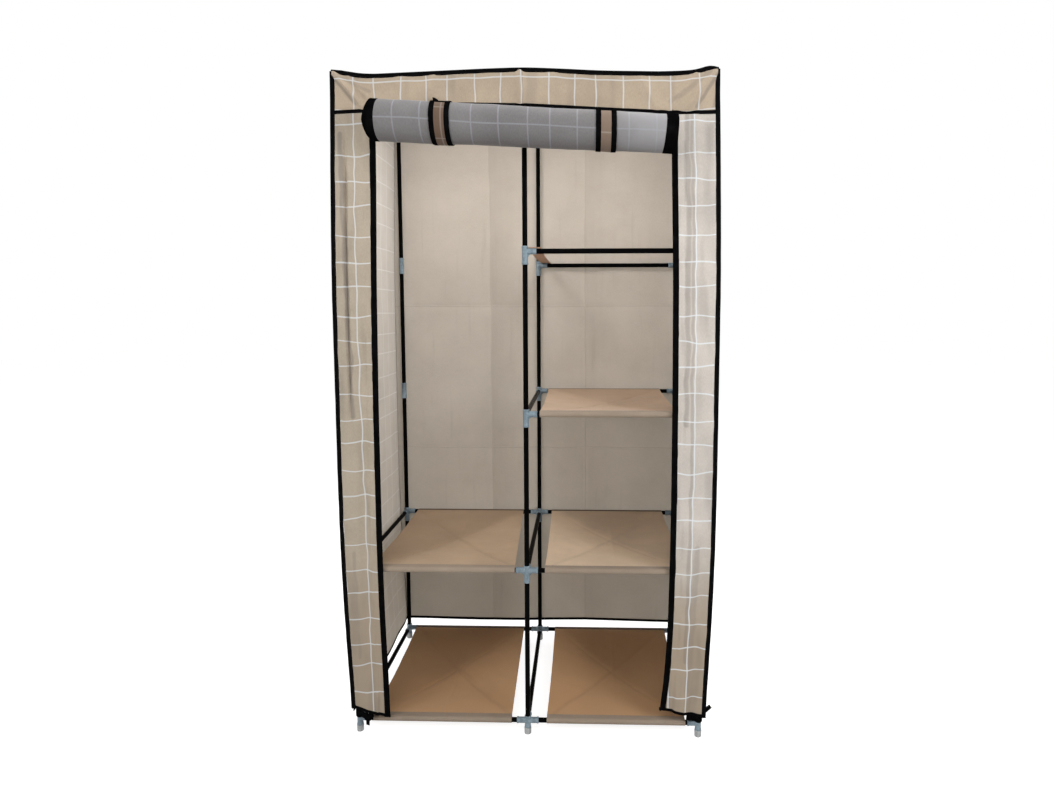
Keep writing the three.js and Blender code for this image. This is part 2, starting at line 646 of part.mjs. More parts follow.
/** Measures the least gap between neighbouring turns on the spiral's own points. */
function leastTurnGap(place, steps) {
  const points = steps.map((step) => new THREE.Vector3(...place(1, step)));
  let least = Infinity;
  points.forEach((point, i) => {
    for (let j = i + ROLL_STEPS_A_TURN / 2; j + 1 < points.length; j += 1) {
      const segment = new THREE.Line3(points[j], points[j + 1]);
      const near = segment.closestPointToPoint(point, true, new THREE.Vector3());
      least = Math.min(least, near.distanceTo(point) - CLOTH_HALF * 2);
    }
  });
  return least;
}

/** Adds a strap that is sewn to the seam and goes round the roll. */
function addRollStrap(name, centreX) {
  const half = ROLL_STRAP_WIDTH / 2;
  const round = stations(ROLL_STRAP_LAST_SHARE, 0, ROLL_STRAP_STEPS);
  const vs = [-1, ...round.map((turns, index) => index), round.length];
  const place = (u, v) => {
    if (v < 0) return [u, COVER_FRONT_Y - ROLL_STRAP_STEP, DOOR_TOP_Z];
    if (v === round.length) return [u, COVER_FRONT_Y + ROLL_STRAP_STEP, DOOR_TOP_Z];
    return spiralPoint(u, round[v], ROLL_STRAP_OFFSET);
  };
  const us = [centreX - half, centreX + half];
  addPiece(doorGroup, name, sheet(us, vs, place, () => CLOTH_HALF), 'webbing');
}

/** Cloth stretched between two sleeves, sagging and creased from corner to corner. */
function shelf() {
  const half = SHELF_WIDTH / 2;
  const sleeves = ROWS.map(([, y]) => clothLoop(SLEEVE_INNER, half, y));
  const place = (u, v) => {
    const across = u / half;
    const along = Math.min(Math.max(v / (BACK_Y - SLEEVE_FLAT), -1), 1);
    const hang = 1 - along * along;
    const crease = SHELF_CREASE * bump(Math.abs(across) - Math.abs(along), SHELF_CREASE_SHARE);
    const droop = SHELF_EDGE_DROOP * across * across * across * across;
    return [u, v, loopTop(SLEEVE_INNER) - (SHELF_SAG + droop - crease) * hang];
  };
  const middle = stations(SLEEVE_FLAT - BACK_Y, BACK_Y - SLEEVE_FLAT, SHELF_GRID);
  const vs = [FRONT_Y, ...middle, BACK_Y];
  const cloth = sheet(stations(-half, half, SHELF_GRID), vs, place, () => CLOTH_HALF);
  return joined([cloth, ...sleeves]);
}

/** Adds the five shelves: two on each of the lower levels and one more in the right bay. */
function addShelves() {
  SHELF_NEAR_EDGES.forEach((near, level) => {
    const x = near + SHELF_WIDTH / 2;
    const z = levelZ(level);
    addPiece(shelfGroup, `shelf_level${level}_right`, shelf(), 'shelf', [x, 0, z]);
    if (level < SHARED_LEVEL_COUNT) addPiece(shelfGroup, `shelf_level${level}_left`, shelf(), 'shelf', [-x, 0, z]);
  });
}

/** Adds the strap that loops over the front and rear bars of the third level. */
function addRailStrap() {
  const half = RAIL_STRAP_WIDTH / 2;
  const loops = ROWS.map(([, y]) => clothLoop(RAIL_STRAP_INNER, half, y));
  const place = (u, v) => {
    const along = Math.min(Math.max(v / (BACK_Y - SLEEVE_FLAT), -1), 1);
    return [u, v, loopTop(RAIL_STRAP_INNER) - RAIL_STRAP_SAG * (1 - along * along)];
  };
  const middle = stations(SLEEVE_FLAT - BACK_Y, BACK_Y - SLEEVE_FLAT, SHELF_GRID);
  const band = sheet([-half, half], [FRONT_Y, ...middle, BACK_Y], place, () => CLOTH_HALF);
  const position = [RAIL_STRAP_START + half, 0, levelZ(TIER_COUNT - 1)];
  addPiece(shelfGroup, 'rail_strap', joined([band, ...loops]), 'webbing', position);
}

/** A zip slider around its own middle: a channel that holds the tape, two lugs and a pin. */
function zipSlider(sign) {
  const channel = ZIP_TAPE_HALF + CLOTH_GAP;
  const face = channel + SLIDER_PLATE;
  const near = SLIDER_PLATE - SLIDER_WIDTH / 2;
  const tall = SLIDER_HALF_HEIGHT;
  const span = (fromX, toX, front, back, height) => {
    const xs = [sign * fromX, sign * toX].sort((a, b) => a - b);
    return block([xs[0], front, -height], [xs[1], back, height]);
  };
  const body = span(-SLIDER_WIDTH / 2, SLIDER_WIDTH / 2, -face, face, tall);
  const slot = span(near, SLIDER_WIDTH / 2 + CUT_PAST, -channel, channel, tall + CUT_PAST);
  const lug = (from, to) => span(from, to, -face - LUG_DEPTH, -channel, LUG_HALF_HEIGHT);
  const pinEnd = LUG_INNER + PIN_RADIUS;
  const pin = bar('x', PIN_RADIUS, -pinEnd, pinEnd, [0, -face - PIN_STANDOFF, 0]);
  return joined([body.subtract(slot), lug(-LUG_OUTER, -LUG_INNER), lug(LUG_INNER, LUG_OUTER), pin]);
}

/** A pull around its own hinge axis: a hub on the pin, a neck and a wider tab. */
function zipPull() {
  const wide = PULL_HALF_WIDTH;
  const thick = PULL_HALF_THICKNESS;
  const tip = -PULL_LENGTH * PULL_NECK_SHARE;
  const hub = bar('x', PULL_HUB_RADIUS, -wide, wide);
  const neck = block([-wide, -thick, tip], [wide, thick, 0]);
  const tab = block([-PULL_TIP_HALF_WIDTH, -thick, -PULL_LENGTH], [PULL_TIP_HALF_WIDTH, thick, tip]);
  const hole = bar('x', PULL_HOLE_RADIUS, -wide - CUT_PAST, wide + CUT_PAST);
  return joined([hub, neck, tab]).subtract(hole);
}

/** Adds a slider with its pull near the top of each zip. */
function addZips() {
  const beyondEdge = SLIDER_WIDTH / 2 - CLOTH_GAP - SLIDER_PLATE;
  const pullY = COVER_FRONT_Y - ZIP_TAPE_HALF - CLOTH_GAP - SLIDER_PLATE - PIN_STANDOFF;
  [['left', -1], ['right', 1]].forEach(([side, sign]) => {
    const x = ZIP_EDGE_X[side] + beyondEdge;
    addPiece(zipGroup, `zip_slider_${side}`, zipSlider(sign), 'zip', [sign * x, COVER_FRONT_Y, SLIDER_Z]);
    addPiece(zipGroup, `zip_pull_${side}`, zipPull(), 'zip', [sign * x, pullY, SLIDER_Z]);
  });
}

/** Moves the whole group so that the middle of its underside is at the origin. */
function settle(group) {
  const box = new THREE.Box3().setFromObject(group);
  const middle = box.getCenter(new THREE.Vector3());
  group.position.set(-middle.x, -middle.y, -box.min.z);
  group.updateMatrixWorld(true);
}

addUprights();
addFeet();
addCrossTubes();
addDepthTubes();
addHangingRail();
addCoverTop();
addCoverBack();
addCoverSide('cover_side_left', -1);
addCoverSide('cover_side_right', 1);
addFrontStrip('left', -1);
addFrontStrip('right', 1);
addValance();
addRolledDoor();
addRollStrap('roll_strap_left', ROLL_STRAP_X[0]);
addRollStrap('roll_strap_right', ROLL_STRAP_X[1]);
addShelves();
addRailStrap();
addZips();
settle(wardrobe);

export default wardrobe;
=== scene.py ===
"""A free-standing fabric wardrobe: push-fit tubes, checked cloth cover, rolled door, shelves and zips.

Lengths are in metres. X runs to the right seen from the open front, Y to the back and Z up.
"""

import functools
import json
import logging
import math
from collections.abc import Callable, Sequence
from dataclasses import dataclass, field
from enum import Enum

import bpy
import numpy as np
from mathutils import Matrix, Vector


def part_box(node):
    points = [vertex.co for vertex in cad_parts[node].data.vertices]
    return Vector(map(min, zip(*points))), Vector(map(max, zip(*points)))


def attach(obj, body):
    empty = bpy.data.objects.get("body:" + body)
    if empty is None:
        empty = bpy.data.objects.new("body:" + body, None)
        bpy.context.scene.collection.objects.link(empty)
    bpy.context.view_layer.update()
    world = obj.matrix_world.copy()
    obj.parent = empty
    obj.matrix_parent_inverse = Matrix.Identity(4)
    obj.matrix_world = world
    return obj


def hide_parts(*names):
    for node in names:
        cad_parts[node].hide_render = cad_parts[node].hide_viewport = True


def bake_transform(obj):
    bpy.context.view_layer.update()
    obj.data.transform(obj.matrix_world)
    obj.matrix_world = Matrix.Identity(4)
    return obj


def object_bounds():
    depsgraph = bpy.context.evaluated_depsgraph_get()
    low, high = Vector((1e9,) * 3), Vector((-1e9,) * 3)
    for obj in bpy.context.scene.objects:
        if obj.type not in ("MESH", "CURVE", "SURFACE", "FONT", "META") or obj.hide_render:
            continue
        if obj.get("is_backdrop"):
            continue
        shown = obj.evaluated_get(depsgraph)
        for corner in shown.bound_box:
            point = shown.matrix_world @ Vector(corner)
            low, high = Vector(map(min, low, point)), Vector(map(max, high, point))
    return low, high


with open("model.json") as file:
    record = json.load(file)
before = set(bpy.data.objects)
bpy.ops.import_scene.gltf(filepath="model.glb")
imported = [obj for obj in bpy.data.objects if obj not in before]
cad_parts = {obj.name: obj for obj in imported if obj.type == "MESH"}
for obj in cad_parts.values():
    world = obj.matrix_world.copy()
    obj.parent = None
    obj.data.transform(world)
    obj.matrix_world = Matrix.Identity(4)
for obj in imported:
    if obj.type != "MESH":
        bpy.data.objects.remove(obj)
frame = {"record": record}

log = logging.getLogger("wardrobe")

SIDES = ("left", "centre", "right")
HANDS = ((-1.0, "left"), (1.0, "right"))
ROWS = ("front", "rear")
ROOT_BODY = "wardrobe"

BACK_FOLDS_X = (-0.148, 0.142)
BACK_FOLDS_Z = (1.06, 0.62)

TAU = 2.0 * math.pi
RIGHT = np.array([1.0, 0.0, 0.0])
UP = np.array([0.0, 0.0, 1.0])

Piece = bpy.types.Object
Material = bpy.types.Material
Array = np.ndarray
Reals = Array | float
Place = Sequence[float] | Array
Places = Sequence[Sequence[float]] | Array
Row = tuple[float, ...]
Colour = tuple[float, float, float]


class Slot(Enum):
    """Material slots of the record."""

    TUBE = "black_tube"
    FOOT = "foot_plastic"
    COVER = "cover_cloth"
    LINING = "lining_cloth"
    SHELF = "shelf_cloth"
    STRAP = "strap_webbing"
    ZIP = "zip_metal"


# Numbers and curves


def spread(count: int) -> Array:
    """Numbers from 0 to 1, evenly spaced."""
    return np.linspace(0.0, 1.0, count)


def round_angles(count: int) -> Array:
    """Angles in radians, evenly spaced once round."""
    return np.linspace(0.0, TAU, count, endpoint=False)


def smooth(share: Reals) -> Reals:
    """Eases from 0 to 1: 3t² − 2t³ of the share held between 0 and 1."""
    t = np.clip(share, 0.0, 1.0)
    return t * t * (3.0 - 2.0 * t)


def bump(distance: Reals, half_width: float) -> Reals:
    """A smooth hill of height 1 at distance 0 that ends at half_width: 1 − smooth(|d| / w)."""
    return 1.0 - smooth(np.abs(distance) / half_width)


def arch(share: Reals) -> Reals:
    """A sine arch over the share held between 0 and 1: nothing at both ends and 1 in the middle."""
    return np.sin(np.pi * np.clip(share, 0.0, 1.0))


def ridge(distance: Reals, half_width: float) -> Reals:
    """A pressed fold: a tent (1 − |d| / w)^1.6 with a sharp crest, zero beyond half_width."""
    return np.clip(1.0 - np.abs(distance) / half_width, 0.0, 1.0) ** 1.6


def curve_through(stations: Sequence[float], values: Sequence[float], at: Reals) -> Reals:
    """A soft curve through measured places: straight pieces between them, averaged over a short window.

    Args:
        stations: rising places where the value is known.
        values: the values there.
        at: places to read the curve at.

    Returns:
        The mean of nine readings of the straight pieces, spread over a fourteenth of the whole span.
    """
    reach = (stations[-1] - stations[0]) / 14.0
    shifts = np.linspace(-0.5, 0.5, 9) * reach
    readings = [np.interp(np.asarray(at) + shift, stations, values) for shift in shifts]
    return np.mean(readings, axis=0)


def undulation(a: Reals, b: Reals, size: float, seed: float) -> Array:
    """Gradient noise: random slopes on a square lattice, blended with 6t⁵ − 15t⁴ + 10t³.

    Args:
        a: first coordinate.
        b: second coordinate.
        size: length of a lattice square.
        seed: picks the slopes.

    Returns:
        The noise at each place, about −0.7 to 0.7.
    """
    x, y = np.broadcast_arrays(np.asarray(a, float) / size, np.asarray(b, float) / size)
    cell_x, cell_y = np.floor(x), np.floor(y)
    t_x, t_y = x - cell_x, y - cell_y
    blend_x = t_x**3 * (t_x * (t_x * 6.0 - 15.0) + 10.0)
    blend_y = t_y**3 * (t_y * (t_y * 6.0 - 15.0) + 10.0)

    def corner(step_x: int, step_y: int) -> Array:
        """Slope of one lattice corner times the way to it."""
        wave = np.sin((cell_x + step_x) * 127.1 + (cell_y + step_y) * 311.7 + seed * 74.7) * 43758.5453
        angle = TAU * (wave - np.floor(wave))
        return np.cos(angle) * (t_x - step_x) + np.sin(angle) * (t_y - step_y)

    low = corner(0, 0) * (1.0 - blend_x) + corner(1, 0) * blend_x
    high = corner(0, 1) * (1.0 - blend_x) + corner(1, 1) * blend_x
    return low * (1.0 - blend_y) + high * blend_y


def rumple(a: Reals, b: Reals, *layers: Row) -> Array:
    """Layers of undulation added up, each given by its height, its size and its seed."""
    return sum(height * undulation(a, b, size, seed) for height, size, seed in layers)


def ridges(*creases: tuple[float, Reals, float]) -> Reals:
    """Pressed folds added up, each given by its height, the distance to it and its half width."""
    return sum(height * ridge(distance, half) for height, distance, half in creases)


def unit(vectors: Array) -> Array:
    """Vectors scaled to length 1."""
    return vectors / np.maximum(np.linalg.norm(vectors, axis=-1, keepdims=True), 1e-12)


def stack(*parts: Reals) -> Array:
    """Coordinates side by side in a new last axis, spread to one shape."""
    return np.stack(np.broadcast_arrays(*[np.asarray(part, float) for part in parts]), axis=-1)


def run_length(path: Array) -> Array:
    """Length along a path of points, up to each of them."""
    steps = np.linalg.norm(np.diff(path, axis=0), axis=1)
    return np.concatenate([[0.0], np.cumsum(steps)])


def resample(path: Array, stations: Array, at: Array) -> Array:
    """A path read at other stations, straight between its points."""
    return np.stack([np.interp(at, stations, path[:, axis]) for axis in range(3)], axis=1)


def capped(ring: Array, first: Array, last: Array) -> Array:
    """Rings of points with a point at each end that closes them: rows × columns × 3 places."""
    ends = [np.broadcast_to(end, (1, ring.shape[1], 3)) for end in (first, last)]
    return np.concatenate([ends[0], ring, ends[1]])


# Meshes


class MeshBuilder:
    """Collects grids of points and turns them into one mesh object with a print map in metres."""

    def __init__(self) -> None:
        """Starts with nothing."""
        self._points: list[Array] = []
        self._faces: list[Array] = []
        self._maps: list[Array] = []
        self._slots: list[Array] = []
        self._count = 0

    def grid(self, points: Array, uv: Array | None = None, closed: tuple[bool, bool] = (False, False),
             slots: Array | int = 0, flip: bool = False) -> "MeshBuilder":
        """Adds a grid of quads.

        Args:
            points: rows × columns × 3 places.
            uv: map coordinates of the corners, one row or column more than points where that way is closed.
            closed: whether the rows, and the columns, join up end to end.
            slots: material index of all faces, or of each face as rows × columns.
            flip: turns the faces round.

        Returns:
            The builder.
        """
        rows, columns = points.shape[:2]
        face_rows = rows if closed[0] else rows - 1
        face_columns = columns if closed[1] else columns - 1
        i, j = np.meshgrid(np.arange(face_rows), np.arange(face_columns), indexing="ij")
        order = [(0, 0), (1, 0), (1, 1), (0, 1)]
        if flip:
            order.reverse()
        corners = [((i + a) % rows) * columns + (j + b) % columns for a, b in order]
        self._faces.append(np.stack(corners, axis=-1).reshape(-1, 4) + self._count)
        if uv is None:
            uv = np.zeros((face_rows + 1, face_columns + 1, 2))
        self._maps.append(np.stack([uv[i + a, j + b] for a, b in order], axis=2).reshape(-1, 2))
        self._slots.append(np.broadcast_to(np.asarray(slots), (face_rows, face_columns)).reshape(-1))
        self._points.append(points.reshape(-1, 3))
        self._count += rows * columns
        return self

    def lathe(self, profile: Places, origin: Place, axis: Place, sides: int = 32) -> "MeshBuilder":
        """Turns a profile around an axis: point = origin + h·axis + r·(cos a·p + sin a·q).

        Args:
            profile: points (r, h) whose ends lie on the axis or meet.
            origin: a point on the axis.
            axis: direction of h.
            sides: number of steps around.

        Returns:
            The builder.
        """
        profile = np.asarray(profile, float)
        along = unit(np.asarray(axis, float))
        helper = UP if abs(along[2]) < 0.9 else RIGHT
        p = unit(np.cross(helper, along))
        q = np.cross(along, p)
        angle = round_angles(sides)
        around = np.cos(angle)[:, None] * p + np.sin(angle)[:, None] * q
        points = np.asarray(origin) + profile[:, None, 1:2] * along + profile[:, None, 0:1] * around
        length = run_length(np.column_stack([profile, np.zeros(len(profile))]))
        turn = spread(sides + 1) * TAU * np.max(profile[:, 0])
        uv = stack(turn[None, :], length[:, None])
        return self.grid(points, uv, (False, True), flip=True)

    def carry(self, profile: Array, path: Array, across: Place, slots: int = 0) -> "MeshBuilder":
        """Carries a closed profile along a path: point = path + a·across + b·(tangent × across).

        Args:
            profile: points (a, b) around the section.
            path: points that the section's middle follows.
            across: direction of a, one or one at each point of the path.
            slots: material index.

        Returns:
            The builder.
        """
        tangent = unit(np.gradient(path, axis=0))
        across = np.broadcast_to(np.asarray(across, float), path.shape)
        across = unit(across - np.sum(across * tangent, axis=1, keepdims=True) * tangent)
        up = np.cross(tangent, across)
        ring = path[:, None] + profile[None, :, 0:1] * across[:, None] + profile[None, :, 1:2] * up[:, None]
        length = run_length(path)
        length = np.concatenate([length[:1], length, length[-1:]])
        outline = np.vstack([profile, profile[:1]])
        uv = stack(length[:, None], outline[None, :, 0])
        return self.grid(capped(ring, path[0], path[-1]), uv, (False, True), slots, flip=True)

    def shell(self, points: Array, uv: Array, half: Reals, outer: Array | int = 0, inner: Array | int = 1,
              rim: int = 0) -> "MeshBuilder":
        """Adds cloth with thickness and a rim: points ± half·normal, with normal = d/drow × d/dcolumn.

        Args:
            points: rows × columns × 3 places of the middle of the cloth.
            uv: print coordinates at each place.
            half: half thickness, one number or one at each place.
            outer: material index on the side that the normals point to.
            inner: material index on the other side.
            rim: material index of the edge.

        Returns:
            The builder.
        """
        normal = unit(np.cross(np.gradient(points, axis=0), np.gradient(points, axis=1)))
        step = normal * np.broadcast_to(np.asarray(half, float), points.shape[:2])[..., None]
        front, back = points + step, points - step
        self.grid(front, uv, slots=outer)
        self.grid(back, uv, slots=inner, flip=True)

        def around(values: Array) -> Array:
            """Values along the edge of the grid, once round."""
            return np.concatenate([values[:-1, 0], values[-1, :-1], values[:0:-1, -1], values[0, :0:-1]])

        edge = np.stack([around(front), around(back)], axis=1)
        edge_uv = around(uv)
        edge_uv = np.stack([np.vstack([edge_uv, edge_uv[:1]])] * 2, axis=1)
        return self.grid(edge, edge_uv, (True, False), rim)

    def finish(self, name: str, materials: Sequence[Material], sharp: float = 40.0) -> Piece:
        """Makes the object, with doubles merged so that seams and poles are closed.

        Args:
            name: name of the piece.
            materials: materials in the order of the indices.
            sharp: angle in degrees past which an edge is shaded sharp.

        Returns:
            The object, at the origin.
        """
        points, faces = np.concatenate(self._points), np.concatenate(self._faces)
        maps, slots = np.concatenate(self._maps), np.concatenate(self._slots)
        keys = np.round(points / 2e-6).astype(np.int64)
        _, first, inverse = np.unique(keys, axis=0, return_index=True, return_inverse=True)
        faces = inverse.reshape(-1)[faces]
        corner_maps = maps.reshape(-1, 4, 2)
        following = np.roll(faces, -1, axis=1)
        keep = faces != following
        whole = keep.sum(axis=1) >= 3
        faces, keep, corner_maps, slots = faces[whole], keep[whole], corner_maps[whole], slots[whole]
        polygons = [face[flags].tolist() for face, flags in zip(faces, keep)]
        mesh = bpy.data.meshes.new(name)
        mesh.from_pydata(points[first].tolist(), [], polygons)
        layer = mesh.uv_layers.new(name="print")
        layer.data.foreach_set("uv", corner_maps[keep].astype(np.float32).reshape(-1))
        mesh.polygons.foreach_set("material_index", slots.astype(np.int32))
        mesh.shade_smooth()
        mesh.set_sharp_from_angle(angle=math.radians(sharp))
        for material in materials:
            mesh.materials.append(material)
        mesh.validate(clean_customdata=False)
        obj = bpy.data.objects.new(name, mesh)
        bpy.context.scene.collection.objects.link(obj)
        return obj


def place(obj: Piece, slot: Slot, body: str = ROOT_BODY, nodes: Sequence[str] = ()) -> Piece:
    """Gives a finished piece its body, hides the nodes that it stands for, and reports it."""
    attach(obj, body)
    if nodes:
        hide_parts(*nodes)
    log.info("%s: %d faces, on %s", obj.name, len(obj.data.polygons), body)
    return obj


def superellipse(width: float, height: float, power: float, points: int) -> Array:
    """Outline of a soft rectangle: |a / half width|^power + |b / half height|^power = 1."""
    angle = round_angles(points)
    a, b = np.cos(angle), np.sin(angle)
    return np.column_stack([np.sign(a) * np.abs(a) ** (2.0 / power) * width / 2.0,
                            np.sign(b) * np.abs(b) ** (2.0 / power) * height / 2.0])


def flat_section(width: float, thickness: float, points: int = 14) -> Array:
    """Outline of a soft band."""
    return superellipse(width, thickness, 2.6, points)


# Shader tools


class Value:
    """A shader socket that Python operators can reckon with, each adding a Math node."""

    def __init__(self, shader: "Shader", socket: bpy.types.NodeSocket) -> None:
        """Wraps a socket of a shader's tree."""
        self.shader = shader
        self.socket = socket

    def math(self, operation: str, *others: "Value | float") -> "Value":
        """Adds a Math node whose first value is this one."""
        return self.shader.node("ShaderNodeMath", {"operation": operation}, self, *others)

    def __add__(self, other: "Value | float") -> "Value":
        """This plus other."""
        return self.math("ADD", other)

    __radd__ = __add__

    def __mul__(self, other: "Value | float") -> "Value":
        """This times other."""
        return self.math("MULTIPLY", other)

    __rmul__ = __mul__

    def __sub__(self, other: "Value | float") -> "Value":
        """This minus other."""
        return self.math("SUBTRACT", other)

    def __rsub__(self, other: float) -> "Value":
        """Other minus this."""
        return self.shader.node("ShaderNodeMath", {"operation": "SUBTRACT"}, other, self)

    def __truediv__(self, other: "Value | float") -> "Value":
        """This divided by other."""
        return self.math("DIVIDE", other)

    def __abs__(self) -> "Value":
        """Size of this without its sign."""
        return self.math("ABSOLUTE")

    def clamped(self) -> "Value":
        """The value held between 0 and 1."""
        return self.math("MAXIMUM", 0.0).math("MINIMUM", 1.0)

    def fraction(self) -> "Value":
        """What is left above the next whole number down."""
        return self.math("FRACT")

    def over(self, other: "Value") -> "Value":
        """The larger of the two."""
        return self.math("MAXIMUM", other)

    def ease(self, low: float, high: float) -> "Value":
        """Rises smoothly from 0 at low to 1 at high, or falls where high is below low."""
        settings = {"interpolation_type": "SMOOTHSTEP"}
        if low <= high:
            return self.shader.node("ShaderNodeMapRange", settings, self, low, high, 0.0, 1.0)
        return self.shader.node("ShaderNodeMapRange", settings, self, high, low, 1.0, 0.0)


Fed = Value | float | Sequence[float]


class Shader:
    """A material's node tree, with the few kinds of call that the finishes need."""

    def __init__(self, name: str) -> None:
        """Makes an empty material with a Principled shader."""
        self.material = bpy.data.materials.new(name)
        self.material.use_nodes = True
        self.tree = self.material.node_tree
        self.tree.nodes.clear()
        output = self.tree.nodes.new("ShaderNodeOutputMaterial")
        self.surface = self.tree.nodes.new("ShaderNodeBsdfPrincipled")
        self.tree.links.new(self.surface.outputs[0], output.inputs["Surface"])

    def node(self, kind: str, settings: dict[str, object] | None = None, *values: Fed, output: int | str = 0,
             **named: Fed) -> Value:
        """Adds a node.

        Args:
            kind: type of the node.
            settings: properties that are set first.
            values: values or links of the first sockets that are in use, in order.
            output: which output is returned.
            named: values or links of sockets by name, with _ for a space.

        Returns:
            The output as a value.
        """
        made = self.tree.nodes.new(kind)
        for key, setting in (settings or {}).items():
            setattr(made, key, setting)
        sockets = [socket for socket in made.inputs if socket.enabled]
        for socket, value in zip(sockets, values):
            self.feed(socket, value)
        for key, value in named.items():
            self.feed(made.inputs[key.replace("_", " ")], value)
        return Value(self, made.outputs[output])

    def feed(self, socket: bpy.types.NodeSocket, value: Fed) -> None:
        """Links a value to a socket, or sets a plain number or colour on it."""
        if isinstance(value, Value):
            self.tree.links.new(value.socket, socket)
        elif isinstance(value, (int, float)):
            socket.default_value = value
        else:
            wanted = len(socket.default_value)
            socket.default_value = (*value, 1.0)[:wanted] if len(value) < wanted else value

    def set(self, name: str, value: Fed) -> None:
        """Feeds a socket of the Principled shader."""
        self.feed(self.surface.inputs[name], value)

    def position(self) -> Value:
        """Place on the piece in metres."""
        return self.node("ShaderNodeTexCoord", output="Object")

    def print_map(self) -> Value:
        """Place on the cloth in metres, before it was hung."""
        return self.node("ShaderNodeUVMap", {"uv_map": "print"})

    def parts(self, vector: Value) -> tuple[Value, Value]:
        """First and second part of a vector."""
        split = self.node("ShaderNodeSeparateXYZ", None, vector)
        return split, Value(self, split.socket.node.outputs[1])

    def noise(self, at: Value, size: float, detail: float = 3.0, roughness: float = 0.55) -> Value:
        """Soft noise from 0 to 1 whose features are about size metres wide."""
        settings = {"noise_dimensions": "3D"}
        return self.node("ShaderNodeTexNoise", settings, Vector=at, Scale=1.0 / size, Detail=detail,
                         Roughness=roughness)

    def stretch(self, at: Value, scale: Sequence[float]) -> Value:
        """A vector scaled along its axes."""
        return self.node("ShaderNodeVectorMath", {"operation": "MULTIPLY"}, at, scale)

    def mix(self, factor: "Value | float", a: "Value | Colour", b: "Value | Colour") -> Value:
        """Colour a where factor is 0 and b where it is 1."""
        made = self.tree.nodes.new("ShaderNodeMix")
        made.data_type = "RGBA"
        for key, value in (("Factor_Float", factor), ("A_Color", a), ("B_Color", b)):
            self.feed(next(s for s in made.inputs if s.identifier == key), value)
        return Value(self, next(s for s in made.outputs if s.identifier == "Result_Color"))

    def bump(self, height: Value, strength: float, distance: float) -> None:
        """Adds a bump to the surface, over any bump that is there."""
        made = self.node("ShaderNodeBump", None, Strength=strength, Distance=distance, Height=height)
        link = self.surface.inputs["Normal"].links
        if link:
            self.tree.links.new(link[0].from_socket, made.socket.node.inputs["Normal"])
        self.set("Normal", made)


def largest(values: Sequence[Value]) -> Value:
    """The largest of several values, place by place."""
    return functools.reduce(Value.over, values)


def shade(colour: Colour, factor: float) -> Colour:
    """A colour made lighter or darker."""
    return tuple(min(channel * factor, 1.0) for channel in colour)


def srgb(red: float, green: float, blue: float) -> Colour:
    """A display colour from 0 to 255 as linear light: ((c + 0.055) / 1.055)^2.4 above the toe."""
    channels = (red / 255.0, green / 255.0, blue / 255.0)
    return tuple(c / 12.92 if c <= 0.04045 else ((c + 0.055) / 1.055) ** 2.4 for c in channels)


# Finishes


@dataclass(frozen=True)
class Check:
    """A check of thin printed lines: where the lines of one repeat lie, along and across the cloth."""

    across_repeat: float = 0.1682
    across_lines: Row = (0.0, 0.047, 0.1098)
    level_repeat: float = 0.1847
    level_lines: Row = (0.0, 0.0552, 0.116)
    line_half: float = 0.0015
    softness: float = 0.0006

    def lines(self, at: Value, repeat: float, offsets: Sequence[float]) -> Value:
        """Mask of the lines that cross one direction: distance to the nearest repeat of each line, eased."""
        masks = []
        for offset in offsets:
            turns = (at * (1.0 / repeat) + (0.5 - offset / repeat)).fraction()
            distance = abs(turns - 0.5) * repeat
            masks.append(distance.ease(self.line_half + self.softness, self.line_half - self.softness))
        return largest(masks)

    def mask(self, shader: Shader) -> Value:
        """Both sets of lines from the print map, a little stronger where they cross."""
        along, up = shader.parts(shader.print_map())
        upright = self.lines(along, self.across_repeat, self.across_lines)
        level = self.lines(up, self.level_repeat, self.level_lines)
        return upright.over(level) * 0.86 + upright * level * 0.14


@dataclass(frozen=True)
class Pressed:
    """Painted shade of sharp creases that packing left in a cloth: places across it and up it where they run.
    """

    upright: Row = ()
    level: Row = ()
    half: float = 0.0022
    fade: float = 0.13

    def reading(self, shader: Shader) -> tuple[Value, Value, Value]:
        """Place across and up the cloth, and how far the creases wander there."""
        across, up = shader.parts(shader.print_map())
        return across, up, shader.noise(shader.print_map(), 0.22, 2.0) * 0.012 - 0.006

    def mask(self, shader: Shader) -> Value:
        """A soft narrow line along each crease, painted darker as shade and used for the bump."""
        across, up, drift = self.reading(shader)
        lines = [abs(across + drift - place_at).ease(self.half, 0.0) for place_at in self.upright]
        lines += [abs(up + drift - place_at).ease(self.half, 0.0) for place_at in self.level]
        return largest(lines)

    def flanks(self, shader: Shader) -> Value:
        """Painted shade on the far side of each upright crease, deepest beside it and gone at the fade
        distance.
        """
        across, _, drift = self.reading(shader)
        streak = shader.noise(shader.stretch(shader.print_map(), (1.0, 0.07, 1.0)), 0.02, 3.0)
        beside = [across + drift - place_at for place_at in self.upright]
        shades = [side.ease(-self.half, self.half) * side.ease(self.fade, 0.0) for side in beside]
        return largest(shades) * (streak * 0.6 + 0.5) + streak.ease(0.58, 0.8) * 0.5


@dataclass(frozen=True)
class Fold:
    """Painted shade of a soft fold in hanging cloth: a grey band along a straight line on the print map."""

    start: tuple[float, float]
    end: tuple[float, float]
    half: float = 0.005
    strength: float = 0.3

    def mask(self, across: Value, up: Value) -> Value:
        """Nearness to the line between its ends: 1 on it, eased to 0 at half its width."""
        step_x, step_y = self.end[0] - self.start[0], self.end[1] - self.start[1]
        squared = step_x**2 + step_y**2
        start_x, start_y = self.start
        along = ((across - start_x) * (step_x / squared) + (up - start_y) * (step_y / squared)).clamped()
        off_x = across - start_x - along * step_x
        off_y = up - start_y - along * step_y
        return (off_x * off_x + off_y * off_y).ease(self.half**2, 0.0) * self.strength


